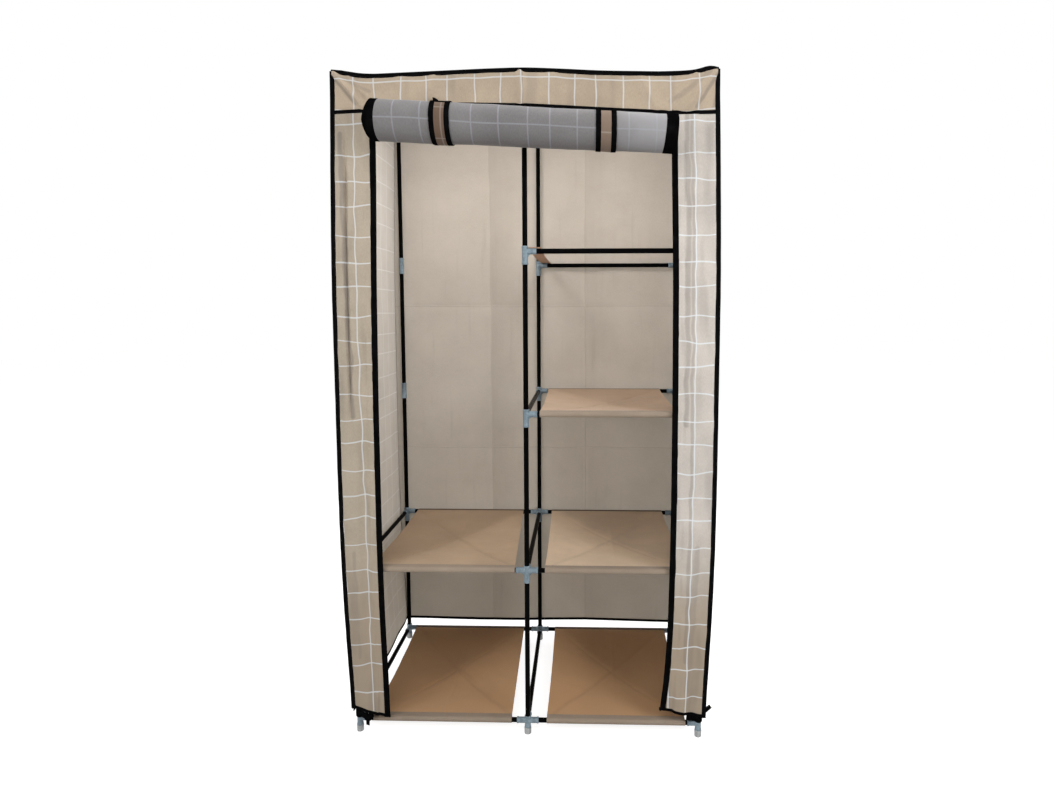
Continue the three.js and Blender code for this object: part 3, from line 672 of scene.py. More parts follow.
@dataclass(frozen=True)
class Facets:
    """How a shelf that sags to its middle catches the light: its outer rear half is in shade."""

    outer: float
    half_width: float = 0.172
    half_depth: float = 0.235
    shade: float = 0.2
    crease: float = 0.09

    def tones(self, shader: Shader, across: Value, up: Value, colour: Value) -> Value:
        """The colour darkened beyond one diagonal, most beside it, and along the other diagonal."""
        wander = shader.noise(shader.print_map(), 0.1, 3.0) * 0.44 - 0.22
        x, y = across * (self.outer / self.half_width), up * (1.0 / self.half_depth)
        beyond = x + y + wander
        shaded = beyond.ease(-0.16, 0.2) * (1.0 - beyond.ease(0.2, 1.7) * 0.55)
        crease = abs(x - y + wander * 0.6).ease(0.09, 0.0) * (1.0 - beyond.ease(-0.2, 0.3) * 0.7)
        return shader.mix(shaded * self.shade + crease * self.crease, colour, (0.0, 0.0, 0.0))


@dataclass(frozen=True)
class ClothFinish:
    """Non-woven cloth: fibres, pressed dimples and, where it has them, its check, painted fold and crease
    shade and a painted light band.
    """

    name: str
    colour: Colour
    line_colour: Colour = (0.72, 0.72, 0.7)
    line_strength: float = 0.0
    roughness: float = 0.86
    sheen: float = 0.12
    unevenness: float = 0.1
    glow: float = 0.65
    grain: float = 0.35
    relief: float = 0.16
    dimple: float = 0.0016
    check: Check = field(default_factory=Check)
    pressed: Pressed | None = None
    # Painted shade: how strongly grey hollows and folds are painted into slack cloth.
    slack: float = 0.0
    # Painted light: the colour that the cloth turns to over a band along one axis, shade near the floor or
    # light at one end.
    far_colour: Colour | None = None
    far_band: tuple[float, float] = (0.62, 0.27)
    far_axis: str = "Z"
    # Painted shade: lines along which folds are painted grey.
    folds: tuple[Fold, ...] = ()
    facets: Facets | None = None

    def build(self) -> Material:
        """Makes the material.

        Returns:
            The material, whose pattern follows the print map. Cloth with a painted light colour turns to it
            over its
            painted light band: painted shade near the floor, painted light at one end of the roll. Slack
                cloth
            gets painted shade in grey hollows and along its folds.
        """
        shader = Shader(self.name)
        at = shader.print_map()
        place_on = shader.position()
        cloud = shader.noise(place_on, 0.11, 4.0, 0.6)
        fibre = shader.noise(shader.stretch(at, (1.0, 0.35, 1.0)), 0.0022, 4.0, 0.75)
        uneven = cloud * (1.0 - self.grain) + fibre * self.grain
        low, high = shade(self.colour, 1.0 - self.unevenness), shade(self.colour, 1.0 + self.unevenness)
        colour = shader.mix(uneven.ease(0.25, 0.75), low, high)
        # Painted light: strips and shelves turn darker towards the floor and the roll paler towards its right
        # end.
        if self.far_colour:
            along_axis = shader.node("ShaderNodeSeparateXYZ", None, place_on, output=self.far_axis)
            colour = shader.mix((along_axis + cloud * 0.1).ease(*self.far_band), colour, self.far_colour)
        across, up = shader.parts(at)
        # Painted shade on each shelf's outer rear half and along one diagonal.
        if self.facets:
            colour = self.facets.tones(shader, across, up, colour)
        # Painted shade: grey streaks from stretched noise and along each fold darken slack cloth.
        if self.slack > 0.0:
            hollow = shader.noise(shader.stretch(at, (1.0, 0.16, 1.0)), 0.045, 2.0, 0.4).ease(0.5, 0.72)
            for fold in self.folds:
                bent = across + shader.noise(shader.print_map(), 0.09, 2.0) * 0.016 - 0.008
                hollow = hollow.over(fold.mask(bent, up) * (1.0 / self.slack))
            colour = shader.mix(hollow * self.slack, colour, shade(srgb(150, 141, 134), 0.62))
        if self.line_strength > 0.0:
            ink = self.check.mask(shader) * (fibre.ease(0.0, 0.6) * 0.35 + 0.65)
            colour = shader.mix(ink * self.line_strength, colour, self.line_colour)
        # Painted shade: the far flank of each pressed crease and a narrow line along it are darkened; the
        # crease also bumps the surface.
        if self.pressed:
            crease = self.pressed.mask(shader)
            colour = shader.mix(self.pressed.flanks(shader) * 0.5, colour, shade(self.colour, 0.7))
            colour = shader.mix(crease * 0.45, colour, shade(self.colour, 0.78))
            shader.bump(crease, 0.5, 0.0012)
        shader.set("Base Color", colour)
        shader.set("Roughness", uneven * 0.12 + (self.roughness - 0.06))
        shader.set("Specular IOR Level", 0.25)
        shader.set("Sheen Weight", self.sheen)
        shader.set("Sheen Roughness", 0.45)
        shader.set("Subsurface Weight", self.glow)
        shader.set("Subsurface Radius", (1.0, 0.9, 0.75))
        shader.set("Subsurface Scale", 0.012)
        turn = TAU / self.dimple
        dimples = (across * turn).math("SINE") * (up * turn).math("SINE")
        shader.bump(dimples * 0.5 + fibre * 0.8, 0.22, 0.00025)
        shader.bump(shader.noise(place_on, 0.028, 3.0), self.relief, 0.0018)
        return shader.material


@dataclass(frozen=True)
class BindingFinish:
    """Black woven tape, with cross ribs and one row of stitches along a line across its width."""

    name: str
    colour: Colour = (0.0022, 0.0021, 0.0023)
    stitch_at: float = 0.0026
    rib: float = 0.0011
    stitch_length: float = 0.0034

    def build(self) -> Material:
        """Makes the material, which reads length along the tape and place across it from the print map."""
        shader = Shader(self.name)
        along, across = shader.parts(shader.print_map())
        ribs = (along * (TAU / self.rib)).math("SINE") * 0.5 + 0.5
        worn = shader.noise(shader.position(), 0.02, 4.0)
        near = (abs(abs(across) - self.stitch_at)).ease(0.0007, 0.00035)
        thread = near * ((along / self.stitch_length).fraction()).ease(0.16, 0.3)
        base = shader.mix(worn.ease(0.3, 0.8), self.colour, shade(self.colour, 2.2))
        shader.set("Base Color", shader.mix(thread, base, (0.01, 0.01, 0.0105)))
        shader.set("Roughness", worn * 0.15 + 0.72)
        shader.set("Specular IOR Level", 0.0)
        shader.bump(ribs * 0.4 + thread * 1.4 + worn * 0.5, 0.35, 0.0004)
        return shader.material


@dataclass(frozen=True)
class CoatedSteel:
    """Glossy black coating on steel tube, with a little orange peel, dust and handling wear."""

    name: str = "gloss_black_steel"
    colour: Colour = (0.0012, 0.0012, 0.0014)

    def build(self) -> Material:
        """Makes the material."""
        shader = Shader(self.name)
        at = shader.position()
        peel = shader.noise(at, 0.0045, 2.0)
        dust = shader.noise(at, 0.06, 5.0, 0.6).ease(0.5, 0.85)
        shader.set("Base Color", shader.mix(dust * 0.4, self.colour, (0.006, 0.006, 0.0065)))
        shader.set("Roughness", dust * 0.12 + 0.26)
        shader.set("Specular IOR Level", 0.015)
        shader.bump(peel, 0.07, 0.0006)
        return shader.material


@dataclass(frozen=True)
class Plastic:
    """Moulded plastic with fine spark texture, slight flow marks and paler rubbed places."""

    name: str
    colour: Colour
    roughness: float = 0.36
    subsurface: float = 0.0

    def build(self) -> Material:
        """Makes the material."""
        shader = Shader(self.name)
        at = shader.position()
        grain = shader.noise(at, 0.0006, 2.0)
        flow = shader.noise(shader.stretch(at, (1.0, 1.0, 0.3)), 0.012, 3.0)
        mottle = flow * 0.55 + shader.noise(at, 0.0045, 3.0, 0.7) * 0.45
        pale = shader.mix(mottle.ease(0.36, 0.66), shade(self.colour, 0.66), shade(self.colour, 1.26))
        rubbed = shader.noise(at, 0.03, 5.0, 0.65).ease(0.55, 0.8)
        shader.set("Base Color", shader.mix(rubbed * 0.3, pale, shade(self.colour, 1.35)))
        shader.set("Roughness", flow * 0.14 + (self.roughness - 0.07))
        shader.set("Subsurface Weight", self.subsurface)
        shader.set("Subsurface Radius", (0.004, 0.004, 0.004))
        shader.bump(grain, 0.12, 0.0002)
        return shader.material


@dataclass(frozen=True)
class PlatedMetal:
    """Nickel-plated zinc of a zip slider, with fine scratches and darker hollows."""

    name: str = "plated_zip_metal"
    colour: Colour = (0.085, 0.085, 0.09)

    def build(self) -> Material:
        """Makes the material."""
        shader = Shader(self.name)
        at = shader.position()
        scratch = shader.noise(shader.stretch(at, (1.0, 1.0, 0.08)), 0.0007, 3.0)
        tarnish = shader.noise(at, 0.004, 4.0)
        shader.set("Base Color", shader.mix(tarnish.ease(0.35, 0.8), self.colour, shade(self.colour, 0.6)))
        shader.set("Metallic", 1.0)
        shader.set("Roughness", scratch * 0.2 + tarnish * 0.14 + 0.16)
        shader.bump(scratch, 0.08, 0.0001)
        return shader.material


@dataclass(frozen=True)
class Finishes:
    """Every material of the wardrobe, made once."""

    steel: Material
    connector: Material
    foot: Material
    cover: Material
    front: Material
    strip_left: Material
    strip_right: Material
    cover_inside: Material
    plain: Material
    lining: Material
    shelf: Material
    shelf_right: Material
    shelf_upper: Material
    sleeve: Material
    rear_sleeve: Material
    strap_left: Material
    strap_right: Material
    rail_strap: Material
    binding: Material
    zip_tape: Material
    zip_metal: Material

    @staticmethod
    def hung_front(name: str, colour: Colour, line_colour: Colour, slack: float, folds: tuple[Fold, ...],
                   far_colour: Colour | None = None) -> Material:
        """Makes the checked cloth of one of the front's hanging pieces, which lets little light through; each
        piece has its own painted light level and painted fold shade.
        """
        return ClothFinish(name, colour, line_colour, 0.8, glow=0.12, grain=0.5, unevenness=0.17, relief=0.5,
                           slack=slack, far_colour=far_colour, folds=folds).build()

    @staticmethod
    def strap_cloth(name: str, colour: Colour, line_colour: Colour) -> Material:
        """Makes the checked cloth of one of the roll's straps."""
        return ClothFinish(name, colour, line_colour, 0.45, glow=0.1, grain=0.6).build()

    @staticmethod
    def plain_brown(name: str, colour: Colour, uneven: float, facets: Facets | None = None) -> Material:
        """Makes the plain brown cloth of a shelf or its sleeve; shelves get painted shade that turns them
        browner near the floor.
        """
        # Painted shade: the browner colour that shelves near the floor turn to.
        low = srgb(196, 152, 110) if facets else None
        return ClothFinish(name, colour, unevenness=uneven, glow=0.2, relief=0.35, facets=facets,
                           far_colour=low, far_band=(0.36, 0.1)).build()

    @classmethod
    def build(cls) -> "Finishes":
        """Makes the materials.

        Returns:
            The materials by name.
        """
        beige, pale = srgb(190, 172, 150), srgb(184, 176, 169)
        # Painted light: the left strip and the valance are shaded copies of the beige and the right strip a
        # paler lit copy, with print lines lit to match.
        left_beige, right_beige = shade(srgb(190, 176, 157), 0.77), srgb(198, 190, 181)
        mirrored = Check(across_lines=(0.0, 0.047, 0.1054))
        right = Facets(outer=1.0, half_width=0.163)
        return cls(
            steel=CoatedSteel().build(),
            connector=Plastic("blue_grey_connector_plastic", srgb(122, 139, 149)).build(),
            foot=Plastic("pale_foot_plastic", srgb(176, 178, 178), 0.38, 0.1).build(),
            cover=ClothFinish("checked_cover_cloth", beige, srgb(226, 230, 233), 0.85).build(),
            # Painted shade: the valance is a shaded copy of the beige.
            front=cls.hung_front("checked_valance_cloth", shade(beige, 0.83), srgb(212, 214, 215), 0.25, (
                Fold((-0.392, 0.014), (-0.335, -0.050), 0.0045, 0.5),
                Fold((-0.380, 0.010), (-0.300, -0.020), 0.006, 0.3),
                Fold((0.492, 0.010), (0.440, -0.060), 0.006, 0.45),
                Fold((0.470, 0.012), (0.385, -0.045), 0.008, 0.3),
                Fold((0.492, -0.020), (0.480, -0.075), 0.007, 0.4),
                Fold((0.047, 0.012), (0.050, -0.060), 0.0035, 0.4),
            )),
            # Painted shade: a shaded copy of the beige, darker towards the floor.
            strip_left=cls.hung_front("checked_left_strip_cloth", left_beige, srgb(214, 218, 221), 0.35, (
                Fold((-0.036, 1.27), (-0.020, 0.62), 0.0085, 0.55),
                Fold((-0.034, 0.28), (-0.030, 0.02), 0.006, 0.3),
            ), shade(beige, 0.66)),
            # Painted light: a paler lit copy of the beige, darker towards the floor.
            strip_right=cls.hung_front("checked_right_strip_cloth", right_beige, srgb(228, 234, 238), 0.3, (
                Fold((0.030, 1.33), (0.026, 0.60), 0.0085, 0.42),
                Fold((0.041, 1.32), (0.040, 0.02), 0.006, 0.35),
                Fold((0.060, 0.30), (0.052, -0.05), 0.012, 0.3),
            ), shade(beige, 0.72)),
            cover_inside=ClothFinish("cover_cloth_inside", pale, srgb(216, 218, 220), 0.5).build(),
            # Painted shade along and beside the pressed creases of the back.
            plain=ClothFinish("plain_back_cloth", srgb(179, 167, 155), glow=0.42, grain=0.45,
                              pressed=Pressed(BACK_FOLDS_X, BACK_FOLDS_Z)).build(),
            # Painted light: the lining turns paler towards the roll's right end.
            lining=ClothFinish("grey_door_lining", srgb(119, 116, 116), srgb(158, 162, 168), 0.5,
                               roughness=0.7, sheen=0.1, unevenness=0.22, grain=0.55, glow=0.2, relief=0.5,
                               check=mirrored, far_colour=srgb(150, 148, 149), far_band=(0.20, 0.33),
                               far_axis="X").build(),
            # Painted light: the left and the upper shelf cloths are shaded copies and the right a lit copy of
            # one brown, each with painted facet shade.
            shelf=cls.plain_brown("brown_shelf_cloth_left", srgb(182, 154, 125), 0.1, Facets(outer=-1.0)),
            shelf_right=cls.plain_brown("brown_shelf_cloth_right", srgb(219, 191, 160), 0.1, right),
            shelf_upper=cls.plain_brown("brown_shelf_cloth_upper", srgb(190, 160, 133), 0.1, right),
            sleeve=cls.plain_brown("shelf_sleeve_cloth", srgb(152, 136, 119), 0.15),
            # Painted shade: the rear sleeve is a dark copy of the sleeve cloth.
            rear_sleeve=cls.plain_brown("rear_sleeve_cloth", srgb(96, 74, 56), 0.15),
            # Painted light: the left strap is a shaded copy and the right strap a lit copy of one cloth.
            strap_left=cls.strap_cloth("strap_cloth_left", srgb(101, 82, 68), srgb(160, 150, 140)),
            strap_right=cls.strap_cloth("strap_cloth_right", srgb(126, 108, 94), srgb(172, 164, 155)),
            rail_strap=ClothFinish("rail_strap_cloth", srgb(162, 126, 100), unevenness=0.2, glow=0.2,
                                   grain=0.7).build(),
            binding=BindingFinish("black_binding").build(),
            zip_tape=BindingFinish("black_zip_tape", stitch_at=0.0052).build(),
            zip_metal=PlatedMetal().build(),
        )


# Places


@dataclass(frozen=True)
class Layout:
    """Main places of the frame and of the cover, read from the fixed frame."""

    uprights_x: Row
    front: float
    rear: float
    levels: Row
    cover_front: float
    cover_back: float
    cover_bottom: float
    seam: float

    @classmethod
    def from_frame(cls) -> "Layout":
        """Reads the places from the boxes of nodes.

        Returns:
            The layout.
        """
        hem_half = 0.002

        def middle(node: str) -> Array:
            """Middle of a node's box."""
            low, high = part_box(node)
            return np.array((low + high) / 2.0)

        low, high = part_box("cover_side_left")
        return cls(
            uprights_x=tuple(float(middle(f"foot_front_{side}")[0]) for side in SIDES),
            front=float(middle("foot_front_centre")[1]),
            rear=float(middle("foot_rear_centre")[1]),
            levels=tuple(float(middle(f"tube_level{level}_front_right")[2]) for level in range(5)),
            cover_front=low.y + hem_half,
            cover_back=high.y - hem_half,
            cover_bottom=low.z,
            seam=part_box("cover_valance")[0].z,
        )

    @property
    def half_width(self) -> float:
        """Distance of the outer uprights from the middle."""
        return self.uprights_x[2]

    @property
    def middle_y(self) -> float:
        """Halfway between the front and the rear uprights."""
        return (self.front + self.rear) / 2.0

    @property
    def half_depth(self) -> float:
        """Half of the distance between the front and the rear uprights."""
        return (self.rear - self.front) / 2.0

    @property
    def cover_depth(self) -> float:
        """Distance between the cover's front and its back."""
        return self.cover_back - self.cover_front

    def row_y(self, row: str) -> float:
        """Depth of the front or the rear uprights."""
        return self.front if row == "front" else self.rear


# Frame


@dataclass
class TubeFrame:
    """Uprights of four tube lengths each, cross and depth tubes, connectors, feet and the hanging rail."""

    layout: Layout
    finishes: Finishes
    tube_radius: float = 0.006
    arm_radius: float = 0.0073
    arm_reach: float = 0.027
    sleeve_drop: float = 0.031
    top_drop: float = 0.009
    sleeve_rise: float = 0.008
    cap_rise: float = 0.02
    coupler_half: float = 0.024
    foot_radius: float = 0.0085
    foot_height: float = 0.016
    web_half: float = 0.0013
    web_along: float = 0.0215
    web_down: float = 0.0255
    tee_half: float = 0.02
    tee_reach: float = 0.03
    shared_levels: int = 2

    def rod(self, builder: MeshBuilder, start: Place, end: Place) -> None:
        """Adds one tube length with eased ends: a profile (r, h) turned around the line from start to end."""
        start, end = np.asarray(start, float), np.asarray(end, float)
        length = float(np.linalg.norm(end - start))
        ease = 0.0006
        radius = self.tube_radius
        stations = np.linspace(ease, length - ease, 12)
        sides = [(radius, h) for h in stations]
        profile = [(0.0, 0.0), (radius - ease, 0.0), *sides, (radius - ease, length), (0.0, length)]
        builder.lathe(profile, start, end - start, 28)

    def arm(self, builder: MeshBuilder, centre: Place, direction: Place, reach: float) -> None:
        """Adds a connector arm: a wall that swells into a bead at its mouth and turns in to the tube."""
        r, bore = self.arm_radius, self.tube_radius + 0.00015
        bead = r + 0.0008
        swell = [(r, reach - 0.0048), (r + 0.0003, reach - 0.0042), (bead, reach - 0.0036)]
        mouth = [(bead, reach - 0.0008), (bead - 0.0003, reach - 0.0003), (bead - 0.0008, reach)]
        inside = [(bore + 0.0002, reach), (bore, reach - 0.0004), (bore, reach - 0.006), (0.0, reach - 0.006)]
        builder.lathe([(0.0, 0.0), (r, 0.0), *swell, *mouth, *inside], centre, direction)

    def web(self, builder: MeshBuilder, centre: Array, direction: Array) -> None:
        """Adds a gusset between an arm and the sleeve below it: a thin plate under a hollow curve.

        The edge runs from the arm at web_along to the sleeve at web_down as a hollow quarter of an ellipse.
        """
        side = np.cross(direction, UP)
        angle = np.linspace(0.0, np.pi / 2.0, 9)
        base = self.arm_radius * 0.6
        out = base + (self.web_along - base) * (1.0 - np.sin(angle))
        down = base + (self.web_down - base) * (1.0 - np.cos(angle))
        edge = centre + out[:, None] * direction - down[:, None] * UP
        corner = centre + base * 0.2 * (direction - UP)
        hub = np.broadcast_to(corner, edge.shape)
        half = self.web_half * side
        ring = np.stack([hub - half, edge - half, edge + half, hub + half], axis=1)
        points = capped(ring, ring[0].mean(axis=0), ring[-1].mean(axis=0))
        builder.grid(points, closed=(False, True), flip=True)

    def arm_directions(self, x_index: int, row: str, level: int) -> list[Array]:
        """Directions of a connector's arms.

        Args:
            x_index: 0 at the left, 1 in the middle, 2 at the right.
            row: front or rear.
            level: level of the frame, 0 at the bottom.

        Returns:
            Unit vectors.
        """
        top = len(self.layout.levels) - 1
        left_bay = level < self.shared_levels or level == top
        arms = []
        if x_index == 2 or (x_index == 1 and left_bay):
            arms.append((-1.0, 0.0, 0.0))
        if x_index == 1 or (x_index == 0 and left_bay):
            arms.append((1.0, 0.0, 0.0))
        if left_bay or (level == self.shared_levels and x_index >= 1):
            arms.append((0.0, 1.0 if row == "front" else -1.0, 0.0))
        return [np.array(arm) for arm in arms]

    def connector(self, x_index: int, row: str, level: int) -> None:
        """Builds one moulded connector, or a straight coupler where no tube meets the upright."""
        layout = self.layout
        centre = np.array([layout.uprights_x[x_index], layout.row_y(row), layout.levels[level]])
        arms = self.arm_directions(x_index, row, level)
        builder = MeshBuilder()
        name = f"connector_level{level}_{row}_{SIDES[x_index]}"
        if not arms:
            self.arm(builder, centre, -UP, self.coupler_half)
            self.arm(builder, centre, UP, self.coupler_half)
            bead = [(0.0, -0.0012), (0.0082, -0.0012), (0.0086, 0.0), (0.0082, 0.0012), (0.0, 0.0012)]
            builder.lathe(bead, centre, UP)
        else:
            top = level == len(layout.levels) - 1
            drop = self.top_drop if top else self.sleeve_drop
            if level == 0:
                drop = centre[2] - self.foot_height - 0.0004
            self.arm(builder, centre, -UP, drop)
            if top:
                self.cap(builder, centre)
            else:
                self.arm(builder, centre, UP, self.sleeve_rise + 0.004)
            for direction in arms:
                self.arm(builder, centre, direction, self.arm_reach)
                if level > 0 and not top:
                    self.web(builder, centre, direction)
        connector = builder.finish(name, [self.finishes.connector], 35.0)
        place(connector, Slot.TUBE)

    def cap(self, builder: MeshBuilder, centre: Array) -> None:
        """Adds the closed end of a top connector: a cylinder that rounds over in a quarter ellipse."""
        angle = np.linspace(0.0, np.pi / 2.0, 8)
        r, shoulder = self.arm_radius, self.cap_rise - 0.004
        dome = [(r * math.cos(a), shoulder + 0.004 * math.sin(a)) for a in angle]
        builder.lathe([(0.0, 0.0), (r, 0.0), *dome[:-1], (0.0, self.cap_rise)], centre, UP)

    def upright(self, x_index: int, row: str) -> None:
        """Builds one upright's four tube lengths and its connectors."""
        layout = self.layout
        x, y = layout.uprights_x[x_index], layout.row_y(row)
        builder = MeshBuilder()
        gap = 0.0004
        ends = [0.0034, *layout.levels[1:]]
        for low, high in zip(ends[:-1], ends[1:]):
            self.rod(builder, (x, y, low + gap), (x, y, high - gap))
        side = SIDES[x_index]
        tubes = builder.finish(f"tubes_upright_{row}_{side}", [self.finishes.steel])
        place(tubes, Slot.TUBE, nodes=[f"upright_{row}_{side}"])
        for level in range(len(layout.levels)):
            self.connector(x_index, row, level)

    def foot(self, x_index: int, row: str) -> None:
        """Builds a foot cup: a rounded cup with a bead at its mouth and two shallow grooves."""
        r, height = self.foot_radius, self.foot_height
        node = f"foot_{row}_{SIDES[x_index]}"
        low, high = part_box(node)
        centre = ((low.x + high.x) / 2.0, (low.y + high.y) / 2.0, 0.0)
        ease = 0.0018
        turn = np.linspace(0.0, np.pi / 2.0, 6)
        curve = np.column_stack([r - ease * (1.0 - np.sin(turn)), ease * (1.0 - np.cos(turn))])
        wall = [(r, 0.005), (r - 0.0004, 0.0054), (r - 0.0004, 0.0062), (r, 0.0066), (r, height - 0.003)]
        mouth = [(r + 0.0003, height - 0.0026), (r + 0.0003, height - 0.0004), (r - 0.0002, height)]
        bore = self.tube_radius + 0.0002
        inside = [(bore, height), (bore, 0.0032), (0.0, 0.0032)]
        builder = MeshBuilder().lathe([(0.0, 0.0), *curve, *wall, *mouth, *inside], centre, UP)
        cup = builder.finish(f"cup_{row}_{SIDES[x_index]}", [self.finishes.foot], 35.0)
        place(cup, Slot.FOOT, nodes=[node])

    def bars(self) -> None:
        """Builds the cross and depth tubes where the frame has them."""
        for name in sorted(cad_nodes()):
            if not name.startswith("tube_"):
                continue
            low, high = (np.array(corner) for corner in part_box(name))
            axis = int(np.argmax(high - low))
            start, end = (low + high) / 2.0, (low + high) / 2.0
            start[axis], end[axis] = low[axis], high[axis]
            builder = MeshBuilder()
            self.rod(builder, start, end)
            bar = builder.finish(name.replace("tube_", "steel_bar_"), [self.finishes.steel])
            place(bar, Slot.TUBE, nodes=[name])

    def hanging_rail(self) -> None:
        """Builds the rail for hangers and the tees that clasp the depth tubes."""
        y, z = self.layout.middle_y, self.layout.levels[-1]
        left, right = self.layout.uprights_x[0], self.layout.uprights_x[1]
        builder = MeshBuilder()
        self.rod(builder, (left + 0.008, y, z), (right - 0.008, y, z))
        place(builder.finish("rail_for_hangers", [self.finishes.steel]), Slot.TUBE, nodes=["hanging_rail"])
        for name, x, sign in (("left", left, 1.0), ("right", right, -1.0)):
            builder = MeshBuilder()
            centre = np.array([x, y, z])
            self.arm(builder, centre, (sign, 0.0, 0.0), self.tee_reach)
            self.arm(builder, centre, (0.0, 1.0, 0.0), self.tee_half)
            self.arm(builder, centre, (0.0, -1.0, 0.0), self.tee_half)
            tee = builder.finish(f"rail_tee_{name}", [self.finishes.connector], 35.0)
            place(tee, Slot.TUBE)

    def build(self) -> None:
        """Builds every piece of the frame."""
        for row in ROWS:
            for x_index in range(len(SIDES)):
                self.upright(x_index, row)
                self.foot(x_index, row)
        self.bars()
        self.hanging_rail()


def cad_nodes() -> list[str]:
    """Names of the CAD nodes."""
    return [entry["node"] for entry in frame["record"]["subparts"]]


# Cover


@dataclass(frozen=True)
class Tie:
    """How a corner tie is knotted, with places in metres from the foot of the upright, at the cover's front.

    Each lump is an offset from the knot and a radius. Each free end is a reach and its width's direction.
    The first starts at end_from and the second at the knot.
    """

    knot: Row
    end_from: Row
    strap_to: Row
    lumps: tuple[Row, ...]
    ends: tuple[tuple[Row, Row], ...]
    loop_radius: float = 0.0092
    loop_height: float = 0.0515


LEFT_TIE = Tie(
    knot=(0.0265, -0.0035, 0.0450),
    end_from=(0.0265, -0.0035, 0.0450),
    strap_to=(0.0265, -0.0035, 0.0460),
    lumps=((0.0, 0.0, 0.0, 0.0105), (0.0065, -0.001, 0.0035, 0.0074), (-0.0062, -0.0005, 0.0052, 0.0078)),
    ends=(((0.0, -0.004, -0.0185), (-0.9, 0.3, 0.2)), ((0.0135, -0.003, -0.0015), (0.2, 0.3, 1.0))),
)
RIGHT_TIE = Tie(
    knot=(-0.0150, -0.0020, 0.0560),
    end_from=(0.0005, 0.0035, 0.0605),
    strap_to=(-0.0315, 0.0, 0.0568),
    lumps=((0.0, 0.0, 0.0, 0.0066), (0.0078, 0.0, 0.0010, 0.0060), (-0.0078, 0.0, 0.0020, 0.0056)),
    ends=(((0.0275, 0.0015, 0.0215), (-0.62, 0.1, 0.78)), ((-0.012, 0.0, -0.003), (0.1, 0.3, 1.0))),
)


